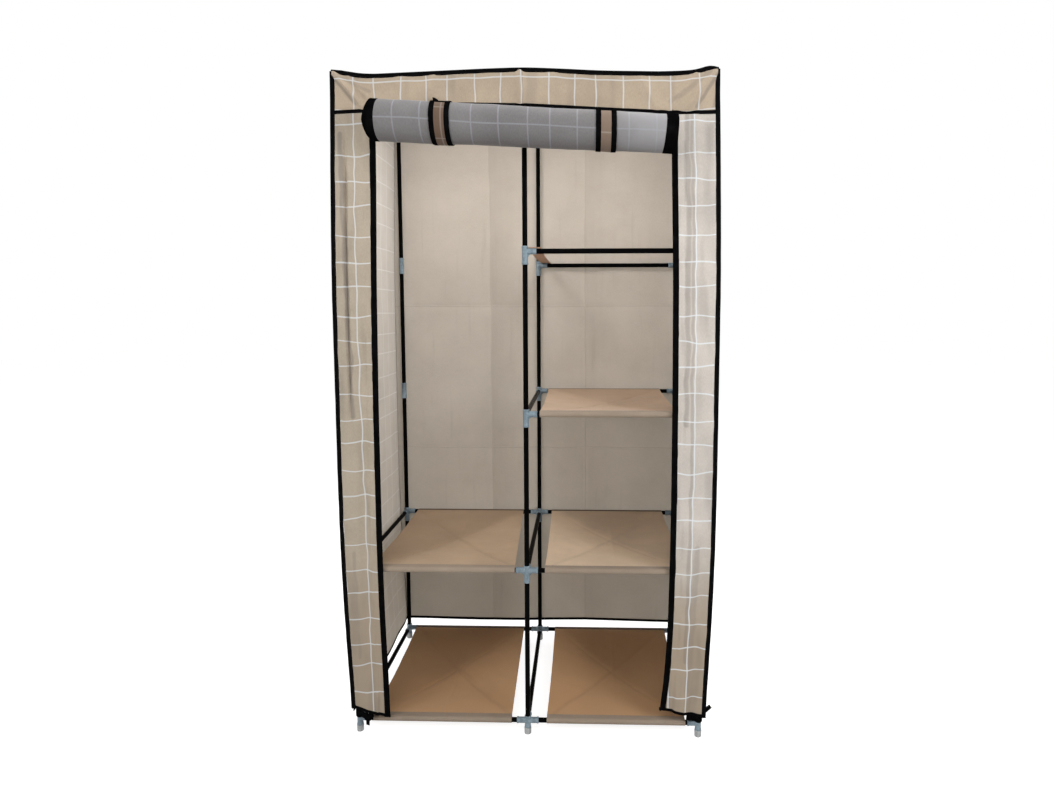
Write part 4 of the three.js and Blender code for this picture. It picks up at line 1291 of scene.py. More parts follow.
@dataclass
class Cover:
    """Cloth cover: top, back, sides, front strips and valance, with black bindings, zip tapes and ties.

    The rows of numbers are measured places: the outward distance of the side walls at heights, the heights of
    the rim and the seam's lift across the front, and, for the left and the right strip, how far the zip and
    the upright printed line lie from the middle at heights.
    """

    layout: Layout
    finishes: Finishes
    cloth_half: float = 0.0005
    offset_heights: Row = (0.058, 0.088, 0.14, 0.242, 0.344, 0.48, 0.617, 1.071, 1.163, 1.323, 1.568)
    offsets: Row = (0.010, 0.0108, 0.013, 0.018, 0.0222, 0.0255, 0.0268, 0.0266, 0.0257, 0.0222, 0.0155)
    rim_stations: Row = (-0.438, -0.42, -0.398, -0.36, -0.211, -0.09, 0.0, 0.09, 0.173, 0.362, 0.4, 0.438)
    rim_heights: Row = (1.59, 1.5896, 1.5835, 1.578, 1.583, 1.5872, 1.5893, 1.585, 1.58, 1.5755, 1.5795,
                        1.5865)
    seam_stations: Row = (-0.438, -0.35, -0.171, 0.015, 0.173, 0.335, 0.438)
    seam_lifts: Row = (-0.001, 0.003, 0.015, 0.011, 0.001, -0.008, -0.008)
    zip_heights: Row = (0.058, 0.10, 0.192, 0.253, 0.345, 0.47, 0.60, 0.84, 1.117, 1.25, 1.39, 1.498)
    zip_lines: tuple[Row, Row] = (
        (0.340, 0.3408, 0.3430, 0.3452, 0.3475, 0.3490, 0.3492, 0.3488, 0.3460, 0.3430, 0.3402, 0.3400),
        (0.3205, 0.3290, 0.3360, 0.3400, 0.3425, 0.3445, 0.3455, 0.3452, 0.3430, 0.3400, 0.3362, 0.3358),
    )
    drift_heights: Row = (0.1, 0.35, 0.65, 1.0, 1.39, 1.5)
    drifts: tuple[Row, Row] = (
        (-0.3763, -0.3814, -0.3854, -0.3896, -0.387, -0.386),
        (0.3352, 0.3414, 0.3463, 0.346, 0.339, 0.331),
    )
    tape_width: float = 0.0145
    tooth_pitch: float = 0.0026
    tooth_step: float = 0.00087
    hem_lift: float = 0.0025
    hem_width: float = 0.0085
    hem_thickness: float = 0.0026
    binding_width: float = 0.0112
    binding_thickness: float = 0.0034
    sag: float = 0.003
    cap_height: float = 1.5893

    def side_offset(self, z: Reals) -> Reals:
        """Outward distance of a side wall from the outer uprights at a height."""
        return curve_through(self.offset_heights, self.offsets, z)

    def rim(self, x: Reals) -> Reals:
        """Height of the cover's front and back top edges."""
        return curve_through(self.rim_stations, self.rim_heights, x)

    def seam(self, x: Reals) -> Reals:
        """Height of the seam under the valance."""
        return self.layout.seam + curve_through(self.seam_stations, self.seam_lifts, x)

    def top_height(self, x: Reals, y: Reals) -> Reals:
        """Height of the top: the rim's near the front and back, slack between, lifted over the six caps.

        Args:
            x: place across.
            y: depth.

        Returns:
            The height.
        """
        layout = self.layout
        level = layout.levels[-1] + 0.0105
        to_edge = np.minimum(y - layout.cover_front, layout.cover_back - y)
        near_edge = np.exp(-((to_edge / 0.05) ** 2))
        bay = np.minimum(np.abs(np.abs(x) - layout.half_width / 2.0) / (layout.half_width / 2.0), 1.0)
        slack = -0.004 * (1.0 - bay**2) * smooth(to_edge / 0.12)
        rail = bump(y - layout.middle_y, 0.05) * (np.asarray(x) < 0.0)
        height = level + slack * (1.0 - rail) + (self.rim(x) - level) * near_edge
        for upright_x in layout.uprights_x:
            for upright_y in (layout.front, layout.rear):
                distance = np.hypot(x - upright_x, y - upright_y)
                lift = 1.0 / (1.0 + (np.maximum(distance - 0.006, 0.0) / 0.02) ** 2)
                height = np.maximum(height, level + (self.cap_height - level) * lift)
        return height + 0.0008 * undulation(x, y, 0.07, 3.0) * smooth(to_edge / 0.03)

    def half_at_top(self) -> float:
        """Half of the top's width, at the side walls' upper edges."""
        return self.layout.half_width + float(self.side_offset(self.offset_heights[-1]))

    def top(self) -> None:
        """Builds the top: points (x, y, height(x, y)) over the rectangle between the walls."""
        half = self.half_at_top()
        x = np.linspace(-half, half, 136)[:, None]
        y = np.linspace(self.layout.cover_front, self.layout.cover_back, 88)[None, :]
        points = stack(x, y, self.top_height(x, y))
        builder = MeshBuilder().shell(points, stack(x, y), self.cloth_half)
        piece = builder.finish("cloth_top", [self.finishes.cover, self.finishes.cover_inside])
        place(piece, Slot.COVER, nodes=["cover_top"])

    def wall_bottom(self, along: Array) -> Array:
        """Height of a side wall's lower edge, which hangs 10 mm lower in the middle than at its ends."""
        return self.layout.cover_bottom + 0.002 - 0.010 * arch(along)

    def side_point(self, sign: float, y: Array, z: Array) -> Array:
        """A place on a side wall.

        The wall stands at half width + offset(z), pulled in by sag between its edges. Slack folds of 1 mm run
        up and down it and soft waves of up to 3 mm lie over it. Both fade to nothing at the piped corners.

        Args:
            sign: −1 at the left and 1 at the right.
            y: depth.
            z: height.

        Returns:
            The places.
        """
        layout = self.layout
        along = (y - layout.cover_front) / layout.cover_depth
        height = (z - layout.cover_bottom) / (layout.levels[-1] - layout.cover_bottom)
        belly = arch(along) * arch(np.clip(height, 0.03, 0.97))
        fade = smooth(np.minimum(along, 1.0 - along) / 0.09) * smooth((1.02 - height) / 0.12)
        folds = 0.0011 * np.sin(TAU * (along * 3.1 + 0.22 * np.sin(4.2 * height + sign)))
        waves = rumple(along * 0.5, height * 1.5, (0.0035, 0.21, 11.0 + sign), (0.0016, 0.075, 17.0 + sign))
        x = layout.half_width + self.side_offset(z) - self.sag * belly + (folds + waves) * fade
        return stack(sign * x, y, z)

    def side(self, sign: float, name: str) -> None:
        """Builds a side wall of the cover."""
        layout = self.layout
        along = spread(84)[:, None]
        share = spread(236)[None, :]
        y = layout.cover_front + along * layout.cover_depth
        low = self.wall_bottom(along)
        high = self.top_height(sign * self.half_at_top(), y) - 0.0008
        z = low + share * (high - low)
        points = self.side_point(sign, y, z)
        uv = stack(y, z)
        if sign < 0:
            points, uv = points[::-1], uv[::-1]
        builder = MeshBuilder().shell(points, uv, self.cloth_half)
        piece = builder.finish(f"cloth_side_{name}", [self.finishes.cover, self.finishes.cover_inside])
        float(np.mean(high - low))
        place(piece, Slot.COVER, nodes=[f"cover_side_{name}"])

    def back_bottom(self, across: Array) -> Array:
        """Height of the back's lower edge, waved by 2 mm, where across runs from −1 to 1."""
        return self.layout.cover_bottom + 0.002 + 0.002 * np.sin(across * 5.0)

    def back_point(self, x: Array, z: Array) -> Array:
        """A place on the back: a flat plane with pressed folds, two upright and two level, and soft waves.

        Args:
            x: place across.
            z: height.

        Returns:
            The places.
        """
        layout = self.layout
        height = np.clip((z - layout.cover_bottom) / (layout.levels[-1] - layout.cover_bottom), 0.0, 1.0)
        free = arch(np.clip(height, 0.02, 0.985)) ** 0.5 * smooth((1.0 - height) / 0.035)
        drift = 0.004 * undulation(z, 0.0, 0.3, 7.0)
        left, right = x - BACK_FOLDS_X[0] + drift, x - BACK_FOLDS_X[1] - drift
        upper, lower = z - BACK_FOLDS_Z[0] + drift, z - BACK_FOLDS_Z[1]
        crest = ridges((1.0, left, 0.011), (1.0, right, 0.011))
        facet = ridges((1.0, left, 0.13), (1.0, right, 0.11), (1.0, upper, 0.12))
        level = ridges((1.0, upper, 0.011), (0.7, lower, 0.012))
        waves = rumple(x, z, (0.0075, 0.26, 5.0), (0.0034, 0.09, 9.0))
        edge = smooth((layout.half_width + 0.012 - np.abs(x)) / 0.05)
        folds = 0.0018 * np.maximum(crest, level) + 0.0062 * facet
        y = layout.cover_back + (folds + waves + 0.001) * free * edge
        return stack(x, y, z)

    def back(self) -> None:
        """Builds the back of the cover."""
        layout = self.layout
        share = spread(226)[None, :]
        across = np.linspace(-1.0, 1.0, 130)[:, None]
        low = self.back_bottom(across)
        x_top = across * self.half_at_top()
        high = self.top_height(x_top, layout.cover_back) - 0.0008
        z = low + share * (high - low)
        x = across * (layout.half_width + self.side_offset(z))
        points = self.back_point(x, z)[::-1]
        builder = MeshBuilder().shell(points, stack(x, z)[::-1], self.cloth_half)
        piece = builder.finish("cloth_back", [self.finishes.plain, self.finishes.plain])
        float(np.mean(high - low))
        place(piece, Slot.COVER, nodes=["cover_back"])

    def valance_point(self, x: Array, share: Array) -> Array:
        """A place on the valance, from the seam (share 0) to the rim (share 1).

        Folds run from the top corners down and inwards and one hangs at the middle. Each is a tent over the
        distance to its line. Soft waves lie between them, and all fade at the two edges.

        Args:
            x: place across.
            share: place from the seam to the rim.

        Returns:
            The places.
        """
        low, high = self.seam(x), self.rim(x)
        z = low + share * (high - low)
        half = self.half_at_top()
        free = arch(share) ** 0.6
        below = high - z
        left, right = x + half - below * 0.95, half - x - below * 0.75
        folds = ridges((0.0115, left, 0.022), (0.0110, right - 0.004, 0.026), (0.0055, left - 0.03, 0.016),
                       (0.0060, right - 0.045, 0.02), (0.0060, x + 0.008, 0.017),
                       (0.0040, x + 0.2 + below * 0.4, 0.03), (0.0045, x - 0.26 - below * 0.5, 0.03))
        waves = rumple(x, z, (0.0048, 0.11, 21.0), (0.0034, 0.045, 23.0))
        return stack(x, self.layout.cover_front - (folds + waves) * free, z)

    def valance(self) -> None:
        """Builds the valance over the door."""
        half = self.half_at_top()
        x = np.linspace(-half, half, 280)[:, None]
        share = spread(40)[None, :]
        points = self.valance_point(x, share)
        wobble = 0.0036 * undulation(x, share * 0.09, 0.06, 31.0)
        below_rim = (1.0 - share) * (self.rim(x) - self.seam(x))
        uv = stack(x + 0.0519 + wobble, 0.0175 - below_rim + wobble)
        builder = MeshBuilder().shell(points, uv, self.cloth_half)
        piece = builder.finish("cloth_valance", [self.finishes.front, self.finishes.cover_inside])
        height = float(np.mean(self.rim(x) - self.seam(x)))
        place(piece, Slot.COVER, nodes=["cover_valance"])

    def zip_line(self, sign: float, z: Reals) -> Reals:
        """Distance of a zip's free edge from the middle at a height, bowed outwards."""
        return curve_through(self.zip_heights, self.zip_lines[int(sign > 0)], z)

    def strip_bottom(self, sign: float, share: Reals) -> Reals:
        """Height of a strip's lower edge: the left one falls towards the zip, the right one to the corner."""
        if sign < 0:
            return 0.047 + 0.022 * share
        return 0.075 - 0.016 * share

    def strip_point(self, sign: float, share: Reals, z: Reals) -> Array:
        """A place on a front strip, from the inner edge of its cloth (share 0) to the corner (share 1).

        Args:
            sign: −1 at the left and 1 at the right.
            share: place from the inner edge to the corner.
            z: height.

        Returns:
            The places.
        """
        layout = self.layout
        inner = self.zip_line(sign, z) + self.tape_width * 0.6
        outer = layout.half_width + self.side_offset(z) - 0.0015
        x = inner + share * (outer - inner)
        height = (z - layout.cover_bottom) / (layout.seam - layout.cover_bottom)
        free = arch(share) ** 0.7 * smooth((1.01 - height) / 0.05)
        valley = 0.28 + 0.1 * np.sin(4.0 * height + 1.0) if sign < 0 else 0.72 + 0.08 * np.sin(3.0 * height)
        channel = 0.0026 - 0.0085 * bump(share - valley, 0.26) * (0.6 + 0.4 * np.sin(7.0 * height + sign))
        waves = rumple(share * 0.08, height * 1.44, (0.0062, 0.085, 41.0 + sign), (0.003, 0.035, 43.0 + sign))
        curl = 0.004 * (1.0 - smooth(height / 0.08)) * arch(share) ** 2
        slot = 0.0005 + 0.03 * smooth((share - 0.18) / 0.3)
        reach = smooth((height - 0.46) / 0.12) * smooth((0.985 - height) / 0.1) if sign < 0 else 0.0
        groove = 0.0085 * bump(share - 0.62 - 0.08 * height, 0.075) * reach
        y = layout.cover_front - np.clip((channel + waves) * free + curl, -slot, slot) + groove
        return stack(sign * x, y, z)

    def strip(self, sign: float, name: str) -> None:
        """Builds a front strip: cloth between the zip's tape and the corner."""
        layout = self.layout
        share = spread(48)[:, None]
        rise = spread(250)[None, :]
        low = self.strip_bottom(sign, share)
        top = self.seam(sign * (0.355 + share * 0.08)) - 0.001
        z = low + rise * (top - low)
        points = self.strip_point(sign, share, z)
        drift = curve_through(self.drift_heights, self.drifts[int(sign > 0)], z)
        width = layout.half_width + self.side_offset(z) - self.zip_line(sign, z)
        uv = stack(sign * (self.zip_line(sign, z) + share * width) - drift, z - 0.1778)
        uv[..., 0] += 0.0040 * undulation(share * 0.08, z, 0.05, 47.0 + sign)
        uv[..., 1] += 0.0100 * undulation(share * 0.08, z, 0.055, 53.0 + sign)
        if sign < 0:
            points, uv = points[::-1], uv[::-1]
        builder = MeshBuilder().shell(points, uv, self.cloth_half)
        # Painted light: the left strip takes the shaded copy and the right strip the lit copy.
        outside = self.finishes.strip_left if sign < 0 else self.finishes.strip_right
        piece = builder.finish(f"cloth_strip_{name}", [outside, self.finishes.cover_inside])
        float(np.mean(top - low))
        place(piece, Slot.COVER, nodes=[f"front_strip_{name}"])

    def band(self, name: str, path: Array, across: Place, width: float, thickness: float,
             zip_tape: bool = False) -> None:
        """Builds a run of binding or tape: a soft flat section carried along a path."""
        material = self.finishes.zip_tape if zip_tape else self.finishes.binding
        builder = MeshBuilder().carry(flat_section(width, thickness), path, across)
        place(builder.finish(name, [material], 60.0), Slot.COVER)

    def bindings(self) -> None:
        """Builds the binding along every edge of the cover."""
        layout = self.layout
        width, thick = self.binding_width, self.binding_thickness
        half = self.half_at_top()
        steps = spread(220)
        for sign, side in HANDS:
            for row, y, low_edge in (("front", layout.cover_front, self.strip_bottom(sign, 1.0)),
                                     ("back", layout.cover_back, layout.cover_bottom + 0.002)):
                outward = -1.0 if row == "front" else 1.0
                high = float(self.top_height(sign * half, y))
                z = low_edge - 0.003 + steps * (high - low_edge + 0.001)
                x = sign * (layout.half_width + self.side_offset(z) - 0.0008)
                wander = 0.0006 * undulation(z, 0.0, 0.05, 61.0 + sign)
                out_x, out_y = (0.0008, 0.0006) if row == "front" else (0.0032, 0.0024)
                path = stack(x + sign * out_x + wander, y + outward * out_y, z)
                self.band(f"binding_corner_{row}_{side}", path, RIGHT, width, thick)
            y = layout.cover_front + steps * layout.cover_depth
            high = self.top_height(sign * half, y)
            path = stack(sign * (half + 0.0005), y, high - 0.0028)
            self.band(f"binding_top_{side}", path, UP, width * 0.9, thick)
            path = self.side_point(sign, y, self.wall_bottom(steps) + self.hem_lift)
            self.band(f"binding_bottom_{side}", path, UP, self.hem_width, self.hem_thickness)
        x = np.linspace(-half - 0.002, half + 0.002, 300)
        for row, y, outward in (("front", layout.cover_front, -1.0), ("back", layout.cover_back, 1.0)):
            path = stack(x, y + outward * 0.0005, self.top_height(x, y) - 0.0030)
            self.band(f"binding_top_{row}", path, UP, width * 0.92, thick)
        path = stack(x, layout.cover_front - 0.0006, self.seam(x) - 0.0005)
        self.band("binding_seam", path, UP, 0.0088, 0.0028)
        across = np.clip(x, -layout.half_width - 0.009, layout.half_width + 0.009)
        path = self.back_point(across, self.back_bottom(x / half) + self.hem_lift)
        self.band("binding_bottom_back", path, UP, self.hem_width, self.hem_thickness)

    def zip_tapes(self) -> None:
        """Builds the zip tape along each strip's inner edge, its teeth and the binding of the lower edge."""
        for sign, side in HANDS:
            low = self.strip_bottom(sign, 0.0) - 0.002
            z = np.linspace(low, self.layout.seam - 0.003, 420)
            edge = self.zip_line(sign, z)
            y = self.strip_point(sign, 0.0, z)[:, 1]
            tape = stack(sign * (edge + self.tape_width / 2.0), y - 0.0004, z)
            self.band(f"zip_tape_{side}", tape, RIGHT, self.tape_width, 0.0019, True)
            self.teeth(f"zip_teeth_{side}", stack(sign * (edge + 0.0006), y - 0.0010, z), ROOT_BODY)
            share = np.linspace(-0.12, 1.0, 60)
            bottom = self.strip_bottom(sign, np.clip(share, 0.0, 1.0))
            path = self.strip_point(sign, share, bottom + 0.0022)
            self.band(f"binding_strip_bottom_{side}", path, UP, self.hem_width, 0.0016)

    def teeth(self, name: str, path: Array, body: str) -> None:
        """Builds a coil of zip teeth: a round ridge whose thickness swells at every tooth."""
        length = run_length(path)
        at = np.arange(0.0, length[-1], self.tooth_step)
        fine = resample(path, length, at)
        swell = 0.5 + 0.5 * np.cos(TAU * at / self.tooth_pitch)
        angle = round_angles(8)
        tangent = unit(np.gradient(fine, axis=0))
        across = unit(np.cross(tangent, (0.0, 1.0, 0.0)))
        up = np.cross(tangent, across)
        radius = (0.0011 + 0.0006 * swell)[:, None, None]
        ring = fine[:, None] + radius * (np.cos(angle)[None, :, None] * across[:, None]
                                         + np.sin(angle)[None, :, None] * up[:, None])
        builder = MeshBuilder().grid(capped(ring, fine[0], fine[-1]), closed=(False, True), flip=True)
        place(builder.finish(name, [self.finishes.zip_tape], 60.0), Slot.COVER, body)

    def corner_ties(self) -> None:
        """Builds the black ties that hold the strips to the feet: a loop, a band, a knot and free ends."""
        t = spread(24)
        angle = np.linspace(0.0, TAU, 49)
        rise = np.linspace(-np.pi / 2.0, np.pi / 2.0, 13)
        for sign, side, tie in ((-1.0, "left", LEFT_TIE), (1.0, "right", RIGHT_TIE)):
            corner = np.array([sign * self.layout.half_width, self.layout.cover_front, 0.0])
            builder = MeshBuilder()
            loop = stack(corner[0] + tie.loop_radius * np.cos(angle),
                         self.layout.front + tie.loop_radius * np.sin(angle),
                         tie.loop_height + 0.0015 * np.sin(angle))
            builder.carry(flat_section(0.0225, 0.0014), loop, UP)
            knot = corner + tie.knot
            strap_from = corner + (-sign * 0.004, 0.0012, 0.0540)
            strap = strap_from + (corner + tie.strap_to - strap_from) * t[:, None]
            strap[:, 1] -= 0.0016 * arch(t)
            builder.carry(flat_section(0.0155, 0.0015), strap, (0.1, 0.0, 1.0))
            for dx, dy, dz, radius in tie.lumps:
                profile = np.column_stack([radius * np.cos(rise), radius * 0.8 * np.sin(rise)])
                builder.lathe(profile, knot + (dx, dy, dz), (0.3, 0.3, 1.0), 18)
            origins = (corner + tie.end_from, knot)
            for origin, (reach, across), wide in zip(origins, tie.ends, (0.0105, 0.0090)):
                path = origin + np.array(reach) * t[:, None]
                path[:, 1] -= 0.0020 * arch(t)
                path[:, 2] += 0.0012 * np.sin(2.2 * t)
                builder.carry(flat_section(wide, 0.0013), path, across)
            place(builder.finish(f"corner_tie_{side}", [self.finishes.binding], 60.0), Slot.COVER)

    def build(self) -> None:
        """Builds every piece of the cover."""
        self.top()
        self.back()
        self.valance()
        for sign, name in HANDS:
            self.side(sign, name)
            self.strip(sign, name)
        self.bindings()
        self.zip_tapes()
        self.corner_ties()


# Door


@dataclass
class RolledDoor:
    """The door, rolled up with its lining outwards and held under the seam by two straps."""

    layout: Layout
    finishes: Finishes
    cover: Cover
    left_x: float = -0.322
    right_x: float = 0.3345
    left_dome: float = 0.0245
    right_dome: float = 0.004
    left_drop: float = 0.0355
    right_drop: float = 0.0717
    left_radius: float = 0.0455
    right_radius: float = 0.0418
    core_radius: float = 0.0085
    standoff: float = 0.064
    turns: float = 8.5
    tapes: tuple[float, float] = (0.0155, 0.0245)
    top_ends: tuple[float, float] = (-0.3388, 0.3348)
    strap_centres: tuple[float, float] = (-0.172, 0.184)
    strap_width: float = 0.044
    strap_lift: float = 0.0021
    body: str = "door_roll"

    def roll_centre(self, x: Reals) -> tuple[float, Reals, Reals]:
        """Depth and height of the roll's axis and its outer radius, straight between its ends."""
        share = (np.asarray(x) - self.left_x) / (self.right_x - self.left_x)
        z = self.layout.seam - (self.left_drop + share * (self.right_drop - self.left_drop))
        radius = self.left_radius + share * (self.right_radius - self.left_radius)
        y = self.layout.cover_front - self.standoff
        return y, z, radius

    def spiral(self, x: Reals, turn: Array, lift: float = 0.0) -> Array:
        """A place on the spiral: y = Y + ρ cos a and z = Z − ρ sin a, with a = 2π·turn, starting at the back.

        ρ falls evenly from the outer radius to the core's. The outer turns are uneven by up to 2 mm.

        Args:
            x: place across.
            turn: turns from the start.
            lift: distance outside the cloth.

        Returns:
            The places.
        """
        y, z, radius = self.roll_centre(x)
        angle = TAU * turn
        reach = radius + (self.core_radius - radius) * np.clip(turn / self.turns, 0.0, 1.0)
        loose = rumple(x, angle * 0.03, (0.0016, 0.09, 71.0), (0.0009, 0.03, 73.0))
        flat = -0.0016 * np.cos(angle + 0.5) ** 4
        reach = reach + (loose + flat) * np.clip(1.2 - turn / 3.0, 0.0, 1.0) + lift
        return stack(x, y + reach * np.cos(angle), z - reach * np.sin(angle))

    def edge_x(self, side: str, turn: Array) -> Array:
        """Where the door's side edge lies at each turn: the inner turns stand out past the outer ones."""
        inner = np.clip(turn / self.turns, 0.0, 1.0)
        if side == "left":
            wobble = 0.0042 * np.sin(TAU * turn - 0.4) * (1.0 - 0.7 * inner)
            return self.left_x - self.left_dome * inner**0.6 - wobble
        wobble = 0.0034 * np.sin(TAU * turn + 3.4) * (1.0 - 0.7 * inner)
        return self.right_x + self.right_dome * inner + wobble

    def place_at(self, across: Reals, run: Array) -> Array:
        """A place on the door: a run of −1 to 0 leads from the seam to the roll, then run counts turns.

        Args:
            across: 0 at the left edge and 1 at the right.
            run: place along the door.

        Returns:
            The places.
        """
        turn = np.maximum(run, 0.0)
        left, right = self.edge_x("left", turn), self.edge_x("right", turn)
        x = left + across * (right - left)
        rolled = self.spiral(x, turn)
        share = smooth(np.clip(run + 1.0, 0.0, 1.0))
        top_x = self.top_ends[0] + across * (self.top_ends[1] - self.top_ends[0])
        hem = stack(top_x, self.layout.cover_front, self.cover.seam(top_x) - 0.001)
        linear = np.clip(run + 1.0, 0.0, 1.0)
        path = stack(
            hem[..., 0] + (rolled[..., 0] - hem[..., 0]) * linear,
            hem[..., 1] + (rolled[..., 1] - hem[..., 1]) * share,
            hem[..., 2] + (rolled[..., 2] - hem[..., 2]) * linear,
        )
        return np.where((run < 0.0)[..., None], path, rolled)

    def door(self) -> None:
        """Builds the door as one sheet, black zip tape along both side edges."""
        step = 0.026
        turns = np.arange(0.0, self.turns + step, step)
        run = np.concatenate([np.linspace(-1.0, 0.0, 9)[:-1], turns])[:, None]
        inner, outer = (tape / (self.right_x - self.left_x) for tape in self.tapes)
        across = np.concatenate([
            np.linspace(0.0, inner, 5)[:-1],
            np.linspace(inner, 1.0 - outer, 97)[:-1],
            np.linspace(1.0 - outer, 1.0, 5),
        ])[None, :]
        points = self.place_at(across, run)
        middle = points[:, points.shape[1] // 2]
        length = run_length(middle)
        uv = stack(points[..., 0] - 0.0171, length[:, None] - 0.011)
        uv[..., 1] += 0.004 * undulation(points[..., 0], length[:, None], 0.16, 83.0)
        tape = ((np.arange(across.size - 1) < 4) | (np.arange(across.size - 1) >= across.size - 5))[None, :]
        lining = np.where(tape, 1, 0)
        outside = np.where(tape, 1, 2)
        half = np.where((across < inner) | (across > 1.0 - outer), 0.0011, 0.0005)
        builder = MeshBuilder().shell(points, uv, half, outside, lining, rim=1)
        materials = [self.finishes.lining, self.finishes.zip_tape, self.finishes.cover]
        piece = builder.finish("cloth_door_rolled", materials, 50.0)
        self.right_x - self.left_x
        log.info("door cloth is %.3f m long on the roll", length[-1])
        self.bend(place_soft(piece, Slot.LINING, ["rolled_door"]))

    def bend(self, obj: Piece) -> Piece:
        """Bakes a piece's placement into its mesh."""
        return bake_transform(obj)

    def edge_teeth(self) -> None:
        """Builds the zip teeth along the door's side edges, wound in with the cloth."""
        turn = np.arange(0.02, self.turns, 0.012)
        for side, shift in (("left", 0.0), ("right", 1.0)):
            path = self.place_at(shift, turn)
            self.cover.teeth(f"door_teeth_{side}", path, self.body)

    def strap(self, name: str, centre: float) -> None:
        """Builds one strap: bound cloth that leaves the seam, goes round the roll and returns.

        Args:
            name: left or right.
            centre: place across.
        """
        half = self.strap_width / 2.0
        across = np.array([-1.0, -0.92, -0.5, -0.49, 0.0, 0.49, 0.5, 0.92, 1.0]) * half
        turn = np.linspace(0.80, 0.0, 64)
        body = self.spiral(centre + across, turn[:, None], self.strap_lift)
        seam = self.cover.seam(centre + across)
        start = stack(centre + across, self.layout.cover_front - 0.0034, seam - 0.0005)
        end = stack(centre + across, self.layout.cover_front + 0.0026, seam - 0.001)
        share = smooth(spread(9))[:-1, None, None]
        lead_in = start + (body[0] - start) * share
        lead_in[..., 2] += 0.0035 * arch(spread(9))[:-1, None]
        lead_out = body[-1] + (end - body[-1]) * smooth(spread(9))[1:, None, None]
        points = np.concatenate([lead_in, body, lead_out])
        points[..., 1] -= 0.0004 * np.sin(points[..., 0] * 900.0)
        length = run_length(points[:, across.size // 2])
        uv = stack(across + centre, length[:, None] + (0.006 if name == "left" else 0.036))
        bound = np.abs((across[1:] + across[:-1]) / 2.0) > 0.5 * half
        at_top = np.arange(length.size - 1) < lead_in.shape[0] + np.count_nonzero(turn > 0.66)
        slots = np.where(bound | at_top[:, None], 1, 0)
        thick = np.where(np.abs(across) > 0.495 * half, 0.0011, 0.0006)
        thick[[0, -1]] = 0.0007
        builder = MeshBuilder().shell(points, uv, thick, slots, slots, rim=1)
        self.tail(builder, name, start)
        # Painted light: the left strap takes the shaded copy and the right strap the lit copy.
        cloth = self.finishes.strap_left if name == "left" else self.finishes.strap_right
        piece = builder.finish(f"strap_{name}", [cloth, self.finishes.binding], 50.0)
        self.bend(place_soft(piece, Slot.STRAP, [f"roll_strap_{name}"]))

    def tail(self, builder: MeshBuilder, name: str, start: Array) -> None:
        """Adds the short free end of the strap's binding that sticks up beside the seam."""
        sign = -1.0 if name == "left" else 1.0
        t = spread(12)
        base = start[0] if sign < 0 else start[-1]
        rise = 0.006 if sign < 0 else 0.002
        level = 0.003 if sign < 0 else -0.0085
        path = base + stack(sign * (0.011 * t - 0.001), -0.006 - 0.003 * t, level + rise * np.sin(1.8 * t))
        builder.carry(flat_section(0.0085, 0.0018), path, (0.2, -0.4, 1.0), 1)

    def build(self) -> None:
        """Builds the door, its teeth and the straps."""
        self.door()
        self.edge_teeth()
        for name, centre in zip(("left", "right"), self.strap_centres):
            self.strap(name, centre)


def place_soft(obj: Piece, slot: Slot, nodes: Sequence[str]) -> Piece:
    """Hides the nodes that a bending piece stands for and reports it."""
    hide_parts(*nodes)
    log.info("%s: %d faces, bends at the seam", obj.name, len(obj.data.polygons))
    return obj


# Shelves


